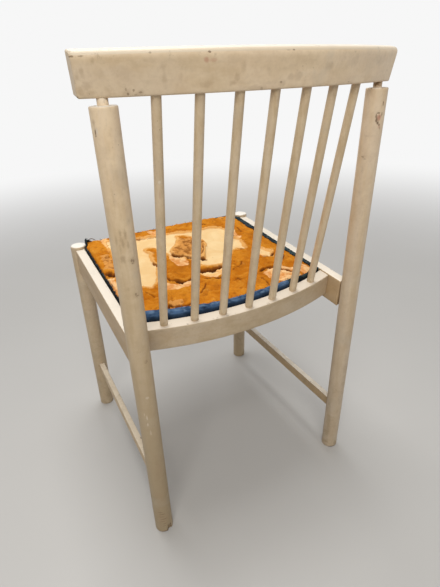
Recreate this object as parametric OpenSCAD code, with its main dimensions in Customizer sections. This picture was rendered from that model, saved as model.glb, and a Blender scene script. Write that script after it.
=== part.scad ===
// Spindle-back dining chair: round legs, bowed back rail, seven spindles, curved crest board
// and a drop-in seat. The front faces -Y, up is +Z, and the origin is on the floor at the middle
// of the chair's overall box.

/* [Legs] */
// Diameter of all four round legs
leg_d = 33; // [26:1:40]
// Distance between the leg centres on the floor, left to right
foot_span = 414; // [340:1:500]
// Distance between the leg centres on the floor, front to rear
foot_depth = 412; // [340:1:500]
// How far each rear post leans outwards over its height
post_splay = 3; // [0:0.5:12]
// How far the rear posts lean back over their height
post_lean = 12; // [0:1:40]
// Open neck between the rear posts' shoulders and the crest board
post_neck = 9; // [2:0.5:20]
// How far the front legs' domed tops stand above the side rails
front_leg_rise = 6.6; // [3:0.2:20]
// How far the front legs lean back over their height
front_lean = 19; // [0:1:40]
// How far each front leg leans inwards over its height
front_splay = 1; // [0:0.5:10]
// Rounding of the front legs' top edges
leg_top_r = 4; // [1:0.5:8]
// Rise of the front legs' domed tops
leg_dome = 1.2; // [0.4:0.2:3]
// Chamfer on the rear posts' top edges
post_chamfer = 1.6; // [0.5:0.1:4]
// Diameter of the round tenon on each rear post
post_tenon_d = 13; // [9:0.5:15]
// Width of the piece broken off the left rear foot
foot_chip_w = 8; // [2:1:14]
// Height of that piece
foot_chip_h = 7; // [2:1:14]
// Depth of that piece
foot_chip_depth = 5; // [1:0.5:10]
// How far round the foot that piece lies from straight back
foot_chip_turn = 27; // [-90:1:90]

/* [Seat frame] */
// Height of the side rails' top edges at the rear feet's line
rail_top_h = 415.5; // [350:0.5:490]
// Slope of the seat, down towards the back
seat_tilt = 4.5; // [0:0.5:7]
// How far the side rails' centres stand inside the leg centres
rail_inset = 1.25; // [0:0.25:4]
// Thickness of the side rails
side_rail_t = 18.5; // [14:0.5:26]
// Height of the side rails
side_rail_h = 55; // [48:1:75]
// Thickness of the front rail
front_rail_t = 18; // [14:0.5:26]
// Thickness of the bowed rear rail
rear_rail_t = 24; // [20:0.5:32]
// Height of the bowed rear rail
rear_rail_h = 42; // [36:1:60]
// Step from the side rails' top edges down to the rear rail's top
rear_rail_drop = 2.5; // [0:0.5:8]
// Distance from the rear feet's line forward to the back of the bowed rail's middle
rear_rail_set = 8; // [0:1:30]
// How far the rear rail's middle bows out behind its ends
rear_rail_bow = 33; // [10:1:60]

/* [Joints] */
// Gap around each glued joint
joint_gap = 0.1; // [0.05:0.05:0.3]
// Thickness of the rails' tenons
tenon_t = 9; // [6:0.5:12]
// Length of the rails' tenons beyond the leg's face
tenon_l = 13; // [8:1:16]
// Height of the side rails' tenons
tenon_h = 34; // [20:1:44]
// Diameter of the dowels between the side rails and the rear rail
dowel_d = 8; // [6:0.5:10]
// Length of those dowels
dowel_l = 30; // [24:1:36]
// Depth of those dowels in the side rails
dowel_in_side = 12; // [8:1:13]
// Wood left between the side rails' tenons and the front rail's
tenon_wall = 3; // [1:0.5:6]
// Shoulders above and below the front rail's tenons
tenon_shoulder = 5; // [2:0.5:12]

/* [Stretchers] */
// Thickness of the side stretchers
stretcher_t = 11.5; // [9:0.5:16]
// Height of the side stretchers
stretcher_h = 24; // [18:1:34]
// Thickness of the stretchers' tenons
stretcher_tenon_t = 8.5; // [5:0.5:9]
// Height of the stretchers' tenons
stretcher_tenon_h = 18; // [10:1:18]
// Height of the stretchers' top edges at the rear legs
stretcher_rear_h = 128; // [80:1:220]
// Height of the stretchers' top edges at the front legs
stretcher_front_h = 136; // [80:1:220]

/* [Back] */
// Number of spindles
spindle_n = 7; // [3:1:9]
// Distance from the outermost spindles' centres to the side rails
spindle_end_gap = 46.5; // [20:0.5:80]
// How far the outermost spindles lean outwards over their height
spindle_splay = 2; // [0:0.5:20]
// Diameter of the spindles at half height
spindle_mid_d = 13.4; // [12:0.2:18]
// Diameter of the spindles at their upper shoulders
spindle_top_d = 12.4; // [11:0.2:16]
// Diameter of the spindles at their lower shoulders
spindle_foot_d = 13; // [11:0.2:16]
// Diameter of the spindles' round tenons
spindle_tenon_d = 9.5; // [7:0.5:10.5]
// Length of the spindles' round tenons
spindle_tenon_l = 20; // [12:1:26]
// Height from the floor to the crest board's highest edge
overall_h = 804; // [680:1:960]
// How far the crest board's top edge reaches beyond the rear posts' centres
crest_overhang = 29; // [20:1:60]
// How far each end of the crest board slants in over its height
crest_slant = 3; // [0:0.5:15]
// Height of the crest board
crest_h = 46; // [38:1:70]
// Thickness of the crest board
crest_t = 20; // [17:0.5:26]
// How far the crest board's middle bows out behind its ends
crest_bow = 46; // [20:1:70]
// Backward lean of the crest board
crest_rake = 10.8; // [4:0.2:16]
// Distance from the rear feet's line back to the crest board's rearmost edge
crest_back = 64; // [50:1:90]
// Depth of the rear posts' tenons in the crest board
post_tenon_seat = 22; // [14:1:30]

/* [Seat] */
// Gap between the covered seat and the side rails
seat_side_gap = 2; // [1:0.5:6]
// Gap between the covered seat and the rear rail
seat_rear_gap = 2.5; // [1:0.5:8]
// Gap between the covered seat and the front legs
seat_leg_gap = 2; // [1:0.5:6]
// Thickness of the seat board
board_t = 8; // [6:0.5:12]
// Thickness of the foam pad
foam_t = 21; // [12:1:40]
// How far the foam pad stands above the side rails
foam_rise = 8; // [2:1:20]
// Thickness of the cover cloth
cover_t = 1.2; // [0.8:0.1:2]
// Width of the cover's hem under the board
hem_w = 30; // [26:1:40]
// Distance of the staples from the seat's edge
staple_inset = 23; // [20:1:24]
// Distance between neighbouring staples
staple_pitch = 46; // [30:1:80]
// Length of the corner blocks along each rail
block_l = 52; // [44:1:64]
// Thickness of the corner blocks
block_t = 20; // [16:1:26]

/* [Screws] */
// Diameter of the screw shanks
screw_d = 4; // [3:0.5:5]
// Diameter of the screw heads
screw_head_d = 8; // [6.5:0.5:9]
// Length of the screws from the corner blocks into the rails
block_screw_l = 22; // [18:1:24]
// Wood left under those screws' heads
block_screw_seat = 11; // [8:0.5:13]
// Wood beyond those screws' heads at the blocks' tips
block_tip = 5; // [2:0.5:8]
// Distance of the seat screws from the blocks' two long sides
seat_screw_in = 23; // [18:1:26]

/* [Hidden] */
$fn = 96;
paint = [0.85, 0.79, 0.68];
bare_wood = [0.72, 0.56, 0.38];
steel = [0.55, 0.55, 0.56];
far = 1000;

// Staples: crown length, wire thickness and leg length
crown_l = 9;
staple_t = 0.6;
staple_l = 5;

// The feet's lines, set so that the overall box is centred
rear_y = (foot_depth + leg_d / 2 - crest_back) / 2;
front_y = rear_y - foot_depth;

// Crest board: a raked section turned about an upright axis in front of the chair's back
crest_top_w = foot_span + 2 * post_splay + 2 * crest_overhang;
crest_foot_w = crest_top_w - 2 * crest_slant;
crest_r = (crest_top_w * crest_top_w / 4 + crest_bow * crest_bow) / (2 * crest_bow);
crest_c = rear_y + crest_back - crest_r;
crest_up = [sin(crest_rake), cos(crest_rake)];
crest_out = [cos(crest_rake), -sin(crest_rake)];
crest_heel = [crest_r, overall_h] - crest_h * crest_up + [0, crest_t * crest_out[1]];
crest_mid = crest_heel - crest_out * crest_t / 2;

// Leg axes from the floor to their tops, on the left side
post_h = crest_mid[1] - post_neck;
front_leg_h = rail_top_h + (foot_depth - front_lean) * tan(seat_tilt) + front_leg_rise;
rear_foot = [foot_span / 2, rear_y, 0];
rear_top = [foot_span / 2 + post_splay, rear_y + post_lean, post_h];
front_foot = [foot_span / 2, front_y, 0];
front_top = [foot_span / 2 - front_splay, front_y + front_lean, front_leg_h];

// Seat frame: x across, v along the seat, w out of it, with w = 0 on the side rails' top edges
rail_x = foot_span / 2 - rail_inset;
rail_in = rail_x - side_rail_t / 2;
rear_rail_r = (rail_in * rail_in + rear_rail_bow * rear_rail_bow) / (2 * rear_rail_bow);
rear_rail_c = -rear_rail_set - rear_rail_r;
front_leg_v = seat_v(axis_at(front_foot, front_top, rail_top_h));
rear_leg_v = seat_v(axis_at(rear_foot, rear_top, rail_top_h));
board_top_w = foam_rise - foam_t;
board_foot_w = board_top_w - board_t;
support_w = board_foot_w - cover_t - 2 * joint_gap;
front_rail_h = side_rail_h + support_w;

// A point of the seat frame in the chair's frame
function seat_point(x, v, w) =
    [x, rear_y + v * cos(seat_tilt) + w * sin(seat_tilt),
     rail_top_h - v * sin(seat_tilt) + w * cos(seat_tilt)];
// Middle of the crest board's bottom face at a place across the chair
function crest_point(x) =
    [x, crest_c + sqrt(crest_mid[0] * crest_mid[0] - x * x), crest_mid[1]];
// Distance along the seat of a point
function seat_v(p) = (p[1] - rear_y) * cos(seat_tilt) - (p[2] - rail_top_h) * sin(seat_tilt);
// Point of an axis at one height
function axis_at(foot, top, z) = foot + (top - foot) * z / (top[2] - foot[2]);

// Spindle axes, from the rear rail's top to the crest board's bottom
spindle_reach = rail_in - spindle_end_gap;
spindle_pitch = 2 * spindle_reach / (spindle_n - 1);
spindle_x = [for (i = [0:spindle_n - 1]) (i - (spindle_n - 1) / 2) * spindle_pitch];
rear_mid_r = rear_rail_r - rear_rail_t / 2;
spindle_foot = [for (x = spindle_x)
    seat_point(x, rear_rail_c + sqrt(rear_mid_r * rear_mid_r - x * x), -rear_rail_drop)];
spindle_head = [for (x = spindle_x) crest_point(x * (1 + spindle_splay / spindle_reach))];

// Places children with +Z along the line from one point to another, without a twist
module along(from, to) {
    d = to - from;
    heading = atan2(d[1], d[0]);
    translate(from)
        rotate([0, acos(d[2] / norm(d)), heading])
            rotate([0, 0, -heading])
                children();
}

module in_seat() {
    translate([0, rear_y, rail_top_h])
        rotate([-seat_tilt, 0, 0])
            children();
}

module below_floor() {
    translate([-far / 2, -far / 2, -far])
        cube([far, far, far]);
}

module both_sides() {
    children();
    mirror([1, 0, 0])
        children();
}

// Plain round bar along a leg's axis, used to cope rails around the legs
module leg_bar(foot, top, grow) {
    along(foot - (top - foot) * 0.1, top + (top - foot) * 0.02)
        cylinder(d = leg_d + 2 * grow, h = norm(top - foot) * 1.12);
}

// Tenons of the rails and stretchers, grown by a gap where they are cut as mortises
module side_rail_tenons(grow) {
    in_seat()
        translate([rail_x - tenon_t / 2 - grow, front_leg_v - tenon_l / 2 - grow,
                   -(side_rail_h + tenon_h) / 2 - grow])
            cube([tenon_t + 2 * grow, rear_leg_v - front_leg_v + tenon_l + 2 * grow,
                  tenon_h + 2 * grow]);
}

module front_rail_tenons(grow) {
    reach = rail_x - tenon_t / 2 - tenon_wall;
    high = front_rail_h - 2 * tenon_shoulder;
    in_seat()
        translate([-reach - grow, front_leg_v - tenon_t / 2 - grow,
                   support_w - (front_rail_h + high) / 2 - grow])
            cube([2 * reach + 2 * grow, tenon_t + 2 * grow, high + 2 * grow]);
}

module stretcher_bar(thick, high, back, front) {
    rear_end = axis_at(rear_foot, rear_top, stretcher_rear_h);
    front_end = axis_at(front_foot, front_top, stretcher_front_h);
    run = rear_end[1] - front_end[1];
    slope = atan2(stretcher_front_h - stretcher_rear_h, run);
    translate([rail_x, rear_end[1], stretcher_rear_h])
        rotate([-slope, 0, 0])
            translate([-thick / 2, -run / cos(slope) - front, -(stretcher_h + high) / 2])
                cube([thick, run / cos(slope) + front + back, high]);
}

module stretcher_tenons(grow) {
    stretcher_bar(stretcher_tenon_t + 2 * grow, stretcher_tenon_h + 2 * grow,
                  leg_d / 4 + grow, leg_d / 4 + grow);
}

// Countersunk wood screw, head up, with its head's face at z = 0
module screw(length, grow) {
    translate([0, 0, -screw_head_d / 4 - grow])
        cylinder(d1 = screw_d + 2 * grow, d2 = screw_head_d + 2 * grow, h = screw_head_d / 4 + grow);
    translate([0, 0, -length - grow])
        cylinder(d = screw_d + 2 * grow, h = length);
}

// Wedge broken off the back of the left rear foot
module foot_chip() {
    translate(rear_foot)
        rotate([0, 0, foot_chip_turn])
            translate([-foot_chip_w / 2, leg_d / 2 - foot_chip_depth, 0])
                rotate([90, 0, 90])
                    linear_extrude(foot_chip_w)
                        polygon([[0, -1], [foot_chip_depth + 1, -1],
                                 [foot_chip_depth + 1, foot_chip_h], [0, 0]]);
}

module rear_leg_left() {
    difference() {
        rear_leg();
        foot_chip();
    }
}

// Rear post with its top tenon, on the left side
module rear_leg() {
    length = norm(rear_top - rear_foot);
    tip = length + post_neck + post_tenon_seat;
    color(paint)
        difference() {
            along(rear_foot, rear_top)
                rotate_extrude()
                    polygon([[0, -leg_d / 4], [leg_d / 2, -leg_d / 4],
                             [leg_d / 2, length - post_chamfer],
                             [leg_d / 2 - post_chamfer, length], [post_tenon_d / 2, length],
                             [post_tenon_d / 2, tip], [0, tip]]);
            below_floor();
            side_rail_tenons(joint_gap);
            stretcher_tenons(joint_gap);
        }
}

module front_leg_left() {
    length = norm(front_top - front_foot);
    shoulder = length - leg_top_r - leg_dome;
    rim = leg_d / 2 - leg_top_r;
    color(paint)
        difference() {
            along(front_foot, front_top)
                rotate_extrude()
                    polygon(concat(
                        [[0, -leg_d / 4], [leg_d / 2, -leg_d / 4]],
                        [for (a = [0:15:90]) [rim + leg_top_r * cos(a), shoulder + leg_top_r * sin(a)]],
                        [[rim / 2, length - leg_dome / 4], [0, length]]));
            below_floor();
            side_rail_tenons(joint_gap);
            front_rail_tenons(joint_gap);
            stretcher_tenons(joint_gap);
        }
}

// Side rail: a board along the seat, coped to the round legs, with its tenons
module side_rail_left() {
    color(paint)
        difference() {
            union() {
                difference() {
                    in_seat()
                        translate([rail_in, front_leg_v, -side_rail_h])
                            cube([side_rail_t, rear_leg_v - front_leg_v, side_rail_h]);
                    leg_bar(rear_foot, rear_top, joint_gap);
                    leg_bar(front_foot, front_top, joint_gap);
                }
                side_rail_tenons(0);
            }
            dowels(joint_gap);
            left_block_screws(joint_gap);
            front_rail_tenons(joint_gap);
        }
}

module front_rail() {
    color(paint)
        difference() {
            union() {
                difference() {
                    in_seat()
                        translate([-foot_span / 2, front_leg_v - front_rail_t / 2, -side_rail_h])
                            cube([foot_span, front_rail_t, front_rail_h]);
                    both_sides() {
                        leg_bar(front_foot, front_top, joint_gap);
                        side_rail_space();
                    }
                }
                front_rail_tenons(0);
            }
            both_sides()
                left_block_screws(joint_gap);
        }
}

// Room that the left side rail and its tenons take, kept clear by the front rail
module side_rail_space() {
    in_seat()
        translate([rail_in - joint_gap, front_leg_v - leg_d, -side_rail_h - leg_d])
            cube([leg_d + side_rail_t, leg_d * 2, side_rail_h + 2 * leg_d]);
}

// Rear rail: an arc in plan between the inner faces of the side rails
module rear_rail() {
    color(paint)
        difference() {
            in_seat()
                intersection() {
                    translate([0, rear_rail_c, -rear_rail_drop - rear_rail_h])
                        difference() {
                            cylinder(r = rear_rail_r, h = rear_rail_h, $fn = 360);
                            translate([0, 0, -1])
                                cylinder(r = rear_rail_r - rear_rail_t, h = rear_rail_h + 2, $fn = 360);
                        }
                    translate([-rail_in + joint_gap, -far / 4, -far / 2])
                        cube([2 * rail_in - 2 * joint_gap, far / 2, far]);
                }
            both_sides() {
                dowels(joint_gap);
                left_block_screws(joint_gap);
            }
            for (i = [0:spindle_n - 1])
                along(spindle_foot[i], spindle_head[i])
                    spindle_socket(spindle_foot_d);
        }
}

// Hole for a spindle's tenon, with a flat seat for the spindle's shoulder around its mouth
module spindle_socket(shoulder_d) {
    translate([0, 0, -spindle_tenon_l - joint_gap])
        cylinder(d = spindle_tenon_d + 2 * joint_gap, h = spindle_tenon_l + 1, $fn = 48);
    cylinder(d = shoulder_d + 2 * joint_gap, h = spindle_tenon_l, $fn = 48);
}

// Pair of dowels at the left end of the rear rail
module dowels(grow) {
    middle_x = rail_in - dowel_l / 2 + dowel_in_side;
    end_v = rear_rail_c + sqrt(rear_mid_r * rear_mid_r - middle_x * middle_x);
    in_seat()
        for (side = [-1, 1])
            translate([rail_in + dowel_in_side + grow, end_v,
                       -rear_rail_drop - rear_rail_h / 2 + side * rear_rail_h / 4])
                rotate([0, -90, 0])
                    cylinder(d = dowel_d + 2 * grow, h = dowel_l + 2 * grow, $fn = 48);
}

module rear_rail_dowels() {
    color(bare_wood)
        both_sides()
            dowels(0);
}

module side_stretcher_left() {
    color(paint) {
        difference() {
            stretcher_bar(stretcher_t, stretcher_h, 0, 0);
            leg_bar(rear_foot, rear_top, joint_gap);
            leg_bar(front_foot, front_top, joint_gap);
        }
        stretcher_tenons(0);
    }
}

// Crest board: its raked section turned to an arc, with ends cut on a slant
module crest_rail() {
    toe = crest_heel - crest_out * crest_t;
    color(paint)
        difference() {
            intersection() {
                translate([0, crest_c, 0])
                    rotate_extrude($fn = 360)
                        polygon([crest_heel, crest_heel + crest_h * crest_up,
                                 toe + crest_h * crest_up, toe]);
                rotate([90, 0, 0])
                    translate([0, crest_heel[1], -far])
                        linear_extrude(far)
                            polygon([[-crest_foot_w / 2, 0], [crest_foot_w / 2, 0],
                                     [crest_top_w / 2, crest_h], [crest_top_w / 2, 2 * crest_h],
                                     [-crest_top_w / 2, 2 * crest_h], [-crest_top_w / 2, crest_h]]);
            }
            both_sides()
                along(rear_foot, rear_top)
                    translate([0, 0, norm(rear_top - rear_foot)])
                        cylinder(d = post_tenon_d + 2 * joint_gap,
                                 h = post_neck + post_tenon_seat + joint_gap);
            for (i = [0:spindle_n - 1])
                along(spindle_head[i], spindle_foot[i])
                    spindle_socket(spindle_top_d);
        }
}

// One spindle: slightly barrelled, with a round tenon at each end
module spindle(i) {
    length = norm(spindle_head[i] - spindle_foot[i]) - 2 * joint_gap;
    steps = 10;
    color(paint)
        along(spindle_foot[i], spindle_head[i])
            translate([0, 0, joint_gap])
                rotate_extrude($fn = 48)
                    polygon(concat(
                        [[0, -spindle_tenon_l], [spindle_tenon_d / 2, -spindle_tenon_l],
                         [spindle_tenon_d / 2, 0]],
                        [for (k = [0:steps])
                            [spindle_radius(k / steps), length * k / steps]],
                        [[spindle_tenon_d / 2, length],
                         [spindle_tenon_d / 2, length + spindle_tenon_l],
                         [0, length + spindle_tenon_l]]));
}

// Radius of a spindle at a share of its length from the foot
function spindle_radius(t) =
    (spindle_foot_d * (1 - t) + spindle_top_d * t) / 2
    + (spindle_mid_d - (spindle_foot_d + spindle_top_d) / 2) / 2 * sin(180 * t);

// Corner blocks stand on the seat frame's axes; corner(side) puts children in a corner with
// +X along the cross rail and +Y along the side rail, away from the corner
rear_corner_v = rear_rail_c + sqrt(pow(rear_rail_r - rear_rail_t, 2) - pow(rail_in - block_l, 2));
front_corner_v = front_leg_v + front_rail_t / 2;

module front_corner() {
    in_seat()
        translate([rail_in - joint_gap, front_corner_v + joint_gap, support_w - block_t])
            mirror([1, 0, 0])
                children();
}

module rear_corner() {
    in_seat()
        translate([rail_in - joint_gap, rear_corner_v - joint_gap, support_w - block_t])
            mirror([1, 0, 0])
                mirror([0, 1, 0])
                    children();
}

// Block with its tips cut off so that the screws' heads have room
module block_body() {
    flat = block_screw_seat + screw_head_d / 2;
    difference() {
        linear_extrude(block_t)
            polygon([[0, 0], [block_l, 0], [block_l, flat], [flat, block_l], [0, block_l]]);
        fixing_screws(joint_gap);
        counterbores();
        seat_screw_place()
            screw(board_t + block_t, joint_gap);
    }
}

// Screws from the block into the cross rail (+Y side) and into the side rail (+X side)
module fixing_screws(grow) {
    at = block_l - block_tip - screw_head_d / 2;
    translate([at, block_screw_seat, block_t / 2])
        rotate([-90, 0, 0])
            screw(block_screw_l, grow);
    translate([block_screw_seat, at, block_t / 2])
        rotate([0, 90, 0])
            screw(block_screw_l, grow);
}

module counterbores() {
    at = block_l - block_tip - screw_head_d / 2;
    translate([at, block_screw_seat, block_t / 2])
        rotate([-90, 0, 0])
            cylinder(d = screw_head_d + 1, h = block_l);
    translate([block_screw_seat, at, block_t / 2])
        rotate([0, 90, 0])
            cylinder(d = screw_head_d + 1, h = block_l);
}

// The screw that holds the seat board, through the block from below
module seat_screw_place() {
    translate([seat_screw_in, seat_screw_in, 0])
        rotate([180, 0, 0])
            children();
}

module left_block_screws(grow) {
    front_corner()
        fixing_screws(grow);
    rear_corner()
        fixing_screws(grow);
}

module left_seat_screws(grow) {
    front_corner()
        seat_screw_place()
            screw(block_t + cover_t + board_t * 0.8, grow);
    rear_corner()
        seat_screw_place()
            screw(block_t + cover_t + board_t * 0.8, grow);
}

module corner_block_front_left() {
    color(bare_wood)
        difference() {
            front_corner()
                block_body();
            leg_bar(front_foot, front_top, joint_gap);
        }
}

module corner_block_rear_left() {
    color(bare_wood)
        intersection() {
            rear_corner()
                block_body();
            in_seat()
                translate([0, rear_rail_c, -side_rail_h - block_t])
                    cylinder(r = rear_rail_r - rear_rail_t - joint_gap, h = side_rail_h + block_t,
                             $fn = 360);
        }
}

module block_screws() {
    color(steel)
        both_sides()
            left_block_screws(0);
}

module seat_screws() {
    color(steel)
        both_sides()
            left_seat_screws(0);
}

// Outline of the covered seat on the seat frame, drawn in by a margin
module seat_outline(margin) {
    side = rail_in - seat_side_gap - margin;
    front = front_leg_v - front_rail_t / 2 + margin;
    difference() {
        intersection() {
            translate([0, rear_rail_c])
                circle(r = rear_rail_r - rear_rail_t - seat_rear_gap - margin, $fn = 360);
            translate([-side, front])
                square([2 * side, -front]);
        }
        for (s = [-1, 1])
            translate([s * (foot_span / 2 - front_splay), front_leg_v])
                circle(d = leg_d + 2 * seat_leg_gap + 2 * margin);
    }
}

module seat_board() {
    color(bare_wood)
        difference() {
            in_seat()
                translate([0, 0, board_foot_w])
                    linear_extrude(board_t)
                        seat_outline(cover_t + joint_gap);
            both_sides()
                left_seat_screws(joint_gap);
            staples(joint_gap);
        }
}

module foam_pad() {
    color([0.83, 0.5, 0.17])
        in_seat()
            translate([0, 0, board_top_w])
                linear_extrude(foam_t)
                    seat_outline(cover_t + joint_gap);
}

// Remains of the cover: a band around the pad's edge with its hem under the board
module seat_cover() {
    band_h = foam_t * 0.8 + board_t + joint_gap;
    color([0.16, 0.28, 0.45])
        difference() {
            in_seat()
                translate([0, 0, board_foot_w - joint_gap]) {
                    linear_extrude(band_h)
                        difference() {
                            seat_outline(0);
                            seat_outline(cover_t);
                        }
                    translate([0, 0, -cover_t])
                        linear_extrude(cover_t)
                            difference() {
                                seat_outline(0);
                                seat_outline(hem_w);
                            }
                }
            both_sides()
                left_seat_screws(joint_gap);
            staples(joint_gap);
        }
}

// Staples through the hem into the board, clear of the rails and the corner blocks
module staples(grow) {
    front = front_leg_v - front_rail_t / 2 + staple_inset;
    side = rail_in - seat_side_gap - staple_inset;
    rear_r = rear_rail_r - rear_rail_t - seat_rear_gap - staple_inset;
    clear = block_l + crown_l;
    across = floor((rail_in - clear) / staple_pitch);
    side_from = front_corner_v + clear;
    side_n = floor((rear_corner_v - clear - side_from) / staple_pitch);
    in_seat() {
        for (k = [-across:across])
            staple([k * staple_pitch, front], 0, grow);
        for (s = [-1, 1])
            for (k = [0:side_n])
                staple([s * side, side_from + k * staple_pitch], 90, grow);
        for (k = [-across:across])
            let (a = asin(k * staple_pitch / rear_r))
                staple([rear_r * sin(a), rear_rail_c + rear_r * cos(a)], -a, grow);
    }
}

module staple(place, turn, grow) {
    top = board_foot_w - joint_gap - cover_t;
    translate([place[0], place[1], top])
        rotate([0, 0, turn])
            for (s = [-1, 0, 1])
                if (s == 0)
                    translate([-crown_l / 2 - grow, -staple_t - grow, -staple_t - grow])
                        cube([crown_l + 2 * grow, 2 * staple_t + 2 * grow, staple_t + grow]);
                else
                    translate([s * (crown_l - staple_t) / 2 - staple_t / 2 - grow, -staple_t - grow,
                               -staple_t])
                        cube([staple_t + 2 * grow, 2 * staple_t + 2 * grow,
                              staple_l + staple_t + grow]);
}

module cover_staples() {
    color(steel)
        staples(0);
}

rear_leg_left();
mirror([1, 0, 0]) rear_leg();  // rear_leg_right
front_leg_left();
mirror([1, 0, 0]) front_leg_left();  // front_leg_right
side_rail_left();
mirror([1, 0, 0]) side_rail_left();  // side_rail_right
front_rail();
rear_rail();
rear_rail_dowels();
side_stretcher_left();
mirror([1, 0, 0]) side_stretcher_left();  // side_stretcher_right
crest_rail();
for (i = [0:spindle_n - 1])
    spindle(i);
corner_block_front_left();
mirror([1, 0, 0]) corner_block_front_left();  // corner_block_front_right
corner_block_rear_left();
mirror([1, 0, 0]) corner_block_rear_left();  // corner_block_rear_right
block_screws();
seat_screws();
seat_board();
foam_pad();
seat_cover();
cover_staples();
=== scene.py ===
import math
import random

import bmesh
import bpy
import numpy as np
from mathutils import Matrix, Vector, noise


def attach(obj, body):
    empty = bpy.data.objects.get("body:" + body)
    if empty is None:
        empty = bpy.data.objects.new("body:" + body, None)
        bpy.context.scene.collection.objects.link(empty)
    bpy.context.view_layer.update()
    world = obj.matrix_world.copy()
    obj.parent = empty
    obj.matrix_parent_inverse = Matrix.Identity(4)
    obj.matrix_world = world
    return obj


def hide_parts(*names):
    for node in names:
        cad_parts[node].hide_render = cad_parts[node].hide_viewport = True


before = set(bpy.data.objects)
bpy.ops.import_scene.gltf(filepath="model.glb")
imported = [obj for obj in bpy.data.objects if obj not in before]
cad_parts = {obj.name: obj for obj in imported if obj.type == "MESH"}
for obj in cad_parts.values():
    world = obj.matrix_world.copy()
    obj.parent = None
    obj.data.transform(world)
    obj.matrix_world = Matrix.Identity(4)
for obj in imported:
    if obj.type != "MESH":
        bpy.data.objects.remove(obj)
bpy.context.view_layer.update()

MM = 0.001


# ---------------------------------------------------------------- sizes of the chair
LEG_R = 16.5 * MM
REAR_Y = 182.25 * MM
FRONT_Y = REAR_Y - 412 * MM
REAR_FOOT = Vector((207 * MM, REAR_Y, 0))
REAR_TOP = Vector((210 * MM, REAR_Y + 12 * MM, 747.94 * MM))
FRONT_FOOT = Vector((207 * MM, FRONT_Y, 0))
FRONT_TOP = Vector((206 * MM, FRONT_Y + 19 * MM, 453.03 * MM))
POST_TENON_R = 6.5 * MM
FOOT_ROUND = 1.2 * MM
LEG_TOP_R = 4 * MM
LEG_DOME = 1.2 * MM

RAIL_TOP = 415.5 * MM
SEAT_TILT = math.radians(4.5)
RAIL_X = 205.75 * MM
SIDE_RAIL_T = 18.5 * MM
SIDE_RAIL_H = 55 * MM
RAIL_IN = RAIL_X - SIDE_RAIL_T / 2
FRONT_RAIL_T = 18 * MM
REAR_RAIL_T = 24 * MM
REAR_RAIL_H = 42 * MM
REAR_RAIL_DROP = 2.5 * MM
REAR_RAIL_BOW = 33 * MM
REAR_RAIL_R = (RAIL_IN ** 2 + REAR_RAIL_BOW ** 2) / (2 * REAR_RAIL_BOW)
REAR_RAIL_C = -8 * MM - REAR_RAIL_R

STRETCHER_T = 11.5 * MM
STRETCHER_H = 24 * MM
STRETCHER_REAR = 128 * MM
STRETCHER_FRONT = 136 * MM

CREST_TOP_W = 478 * MM
CREST_FOOT_W = 472 * MM
CREST_H = 46 * MM
CREST_T = 20 * MM
CREST_BOW = 46 * MM
CREST_RAKE = math.radians(10.8)
CREST_TOP = 804 * MM
CREST_R = (CREST_TOP_W ** 2 / 4 + CREST_BOW ** 2) / (2 * CREST_BOW)
CREST_C = REAR_Y + 64 * MM - CREST_R
CREST_HEEL_R = CREST_R - CREST_H * math.sin(CREST_RAKE)
CREST_HEEL_Z = CREST_TOP - CREST_H * math.cos(CREST_RAKE) - CREST_T * math.sin(CREST_RAKE)

CREST_MID_R = CREST_HEEL_R - CREST_T / 2 * math.cos(CREST_RAKE)
CREST_MID_Z = CREST_HEEL_Z + CREST_T / 2 * math.sin(CREST_RAKE)

SPINDLE_PITCH = 50 * MM
SPINDLE_SPREAD = 1 + 2 / 150
SPINDLE_COUNT = 7
SPINDLE_FOOT_R = 6.5 * MM
SPINDLE_MID_R = 6.7 * MM
SPINDLE_HEAD_R = 6.2 * MM

SEAT_SIDE_GAP = 2 * MM
SEAT_REAR_GAP = 2.5 * MM
SEAT_LEG_GAP = 2 * MM
FOAM_T = 21 * MM
FOAM_RISE = 8 * MM
BOARD_T = 8 * MM
BOARD_TOP = FOAM_RISE - FOAM_T
COVER_T = 1.2 * MM


def seat(x, v, w):
    """A point of the tilted seat frame: x across, v back along the seat, w up out of it."""
    c, s = math.cos(SEAT_TILT), math.sin(SEAT_TILT)
    return Vector((x, REAR_Y + v * c + w * s, RAIL_TOP - v * s + w * c))


def seat_v(point):
    c, s = math.cos(SEAT_TILT), math.sin(SEAT_TILT)
    return (point.y - REAR_Y) * c - (point.z - RAIL_TOP) * s


def on_leg(foot, top, z):
    """Where a leg's axis is at one height."""
    return foot.lerp(top, z / top.z)


FRONT_LEG_V = seat_v(on_leg(FRONT_FOOT, FRONT_TOP, RAIL_TOP))
REAR_LEG_V = seat_v(on_leg(REAR_FOOT, REAR_TOP, RAIL_TOP))


# ---------------------------------------------------------------- camera
CAMERA_PLACE = (0.34233, 0.7128, 0.77721)
CAMERA_HEADING = math.radians(27.525)
CAMERA_PITCH = math.radians(27.453)
CAMERA_ROLL = math.radians(-2.155)
SENSOR, LENS = 36, 26.1917


def make_camera():
    """Stands behind the chair, over its left side, and looks down at it."""
    across, ahead = math.sin(CAMERA_HEADING), math.cos(CAMERA_HEADING)
    flat = Vector((-across, -ahead, 0))
    look = flat * math.cos(CAMERA_PITCH) - Vector((0, 0, math.sin(CAMERA_PITCH)))
    right = Vector((-ahead, across, 0))
    up = right.cross(look)
    c, s = math.cos(CAMERA_ROLL), math.sin(CAMERA_ROLL)
    turn = Matrix((right * c + up * s, up * c - right * s, -look)).transposed()
    data = bpy.data.cameras.new("camera")
    data.sensor_width, data.lens = SENSOR, LENS
    camera = bpy.data.objects.new("camera", data)
    camera.matrix_world = Matrix.Translation(CAMERA_PLACE) @ turn.to_4x4()
    bpy.context.scene.collection.objects.link(camera)
    bpy.context.scene.camera = camera


make_camera()


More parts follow.
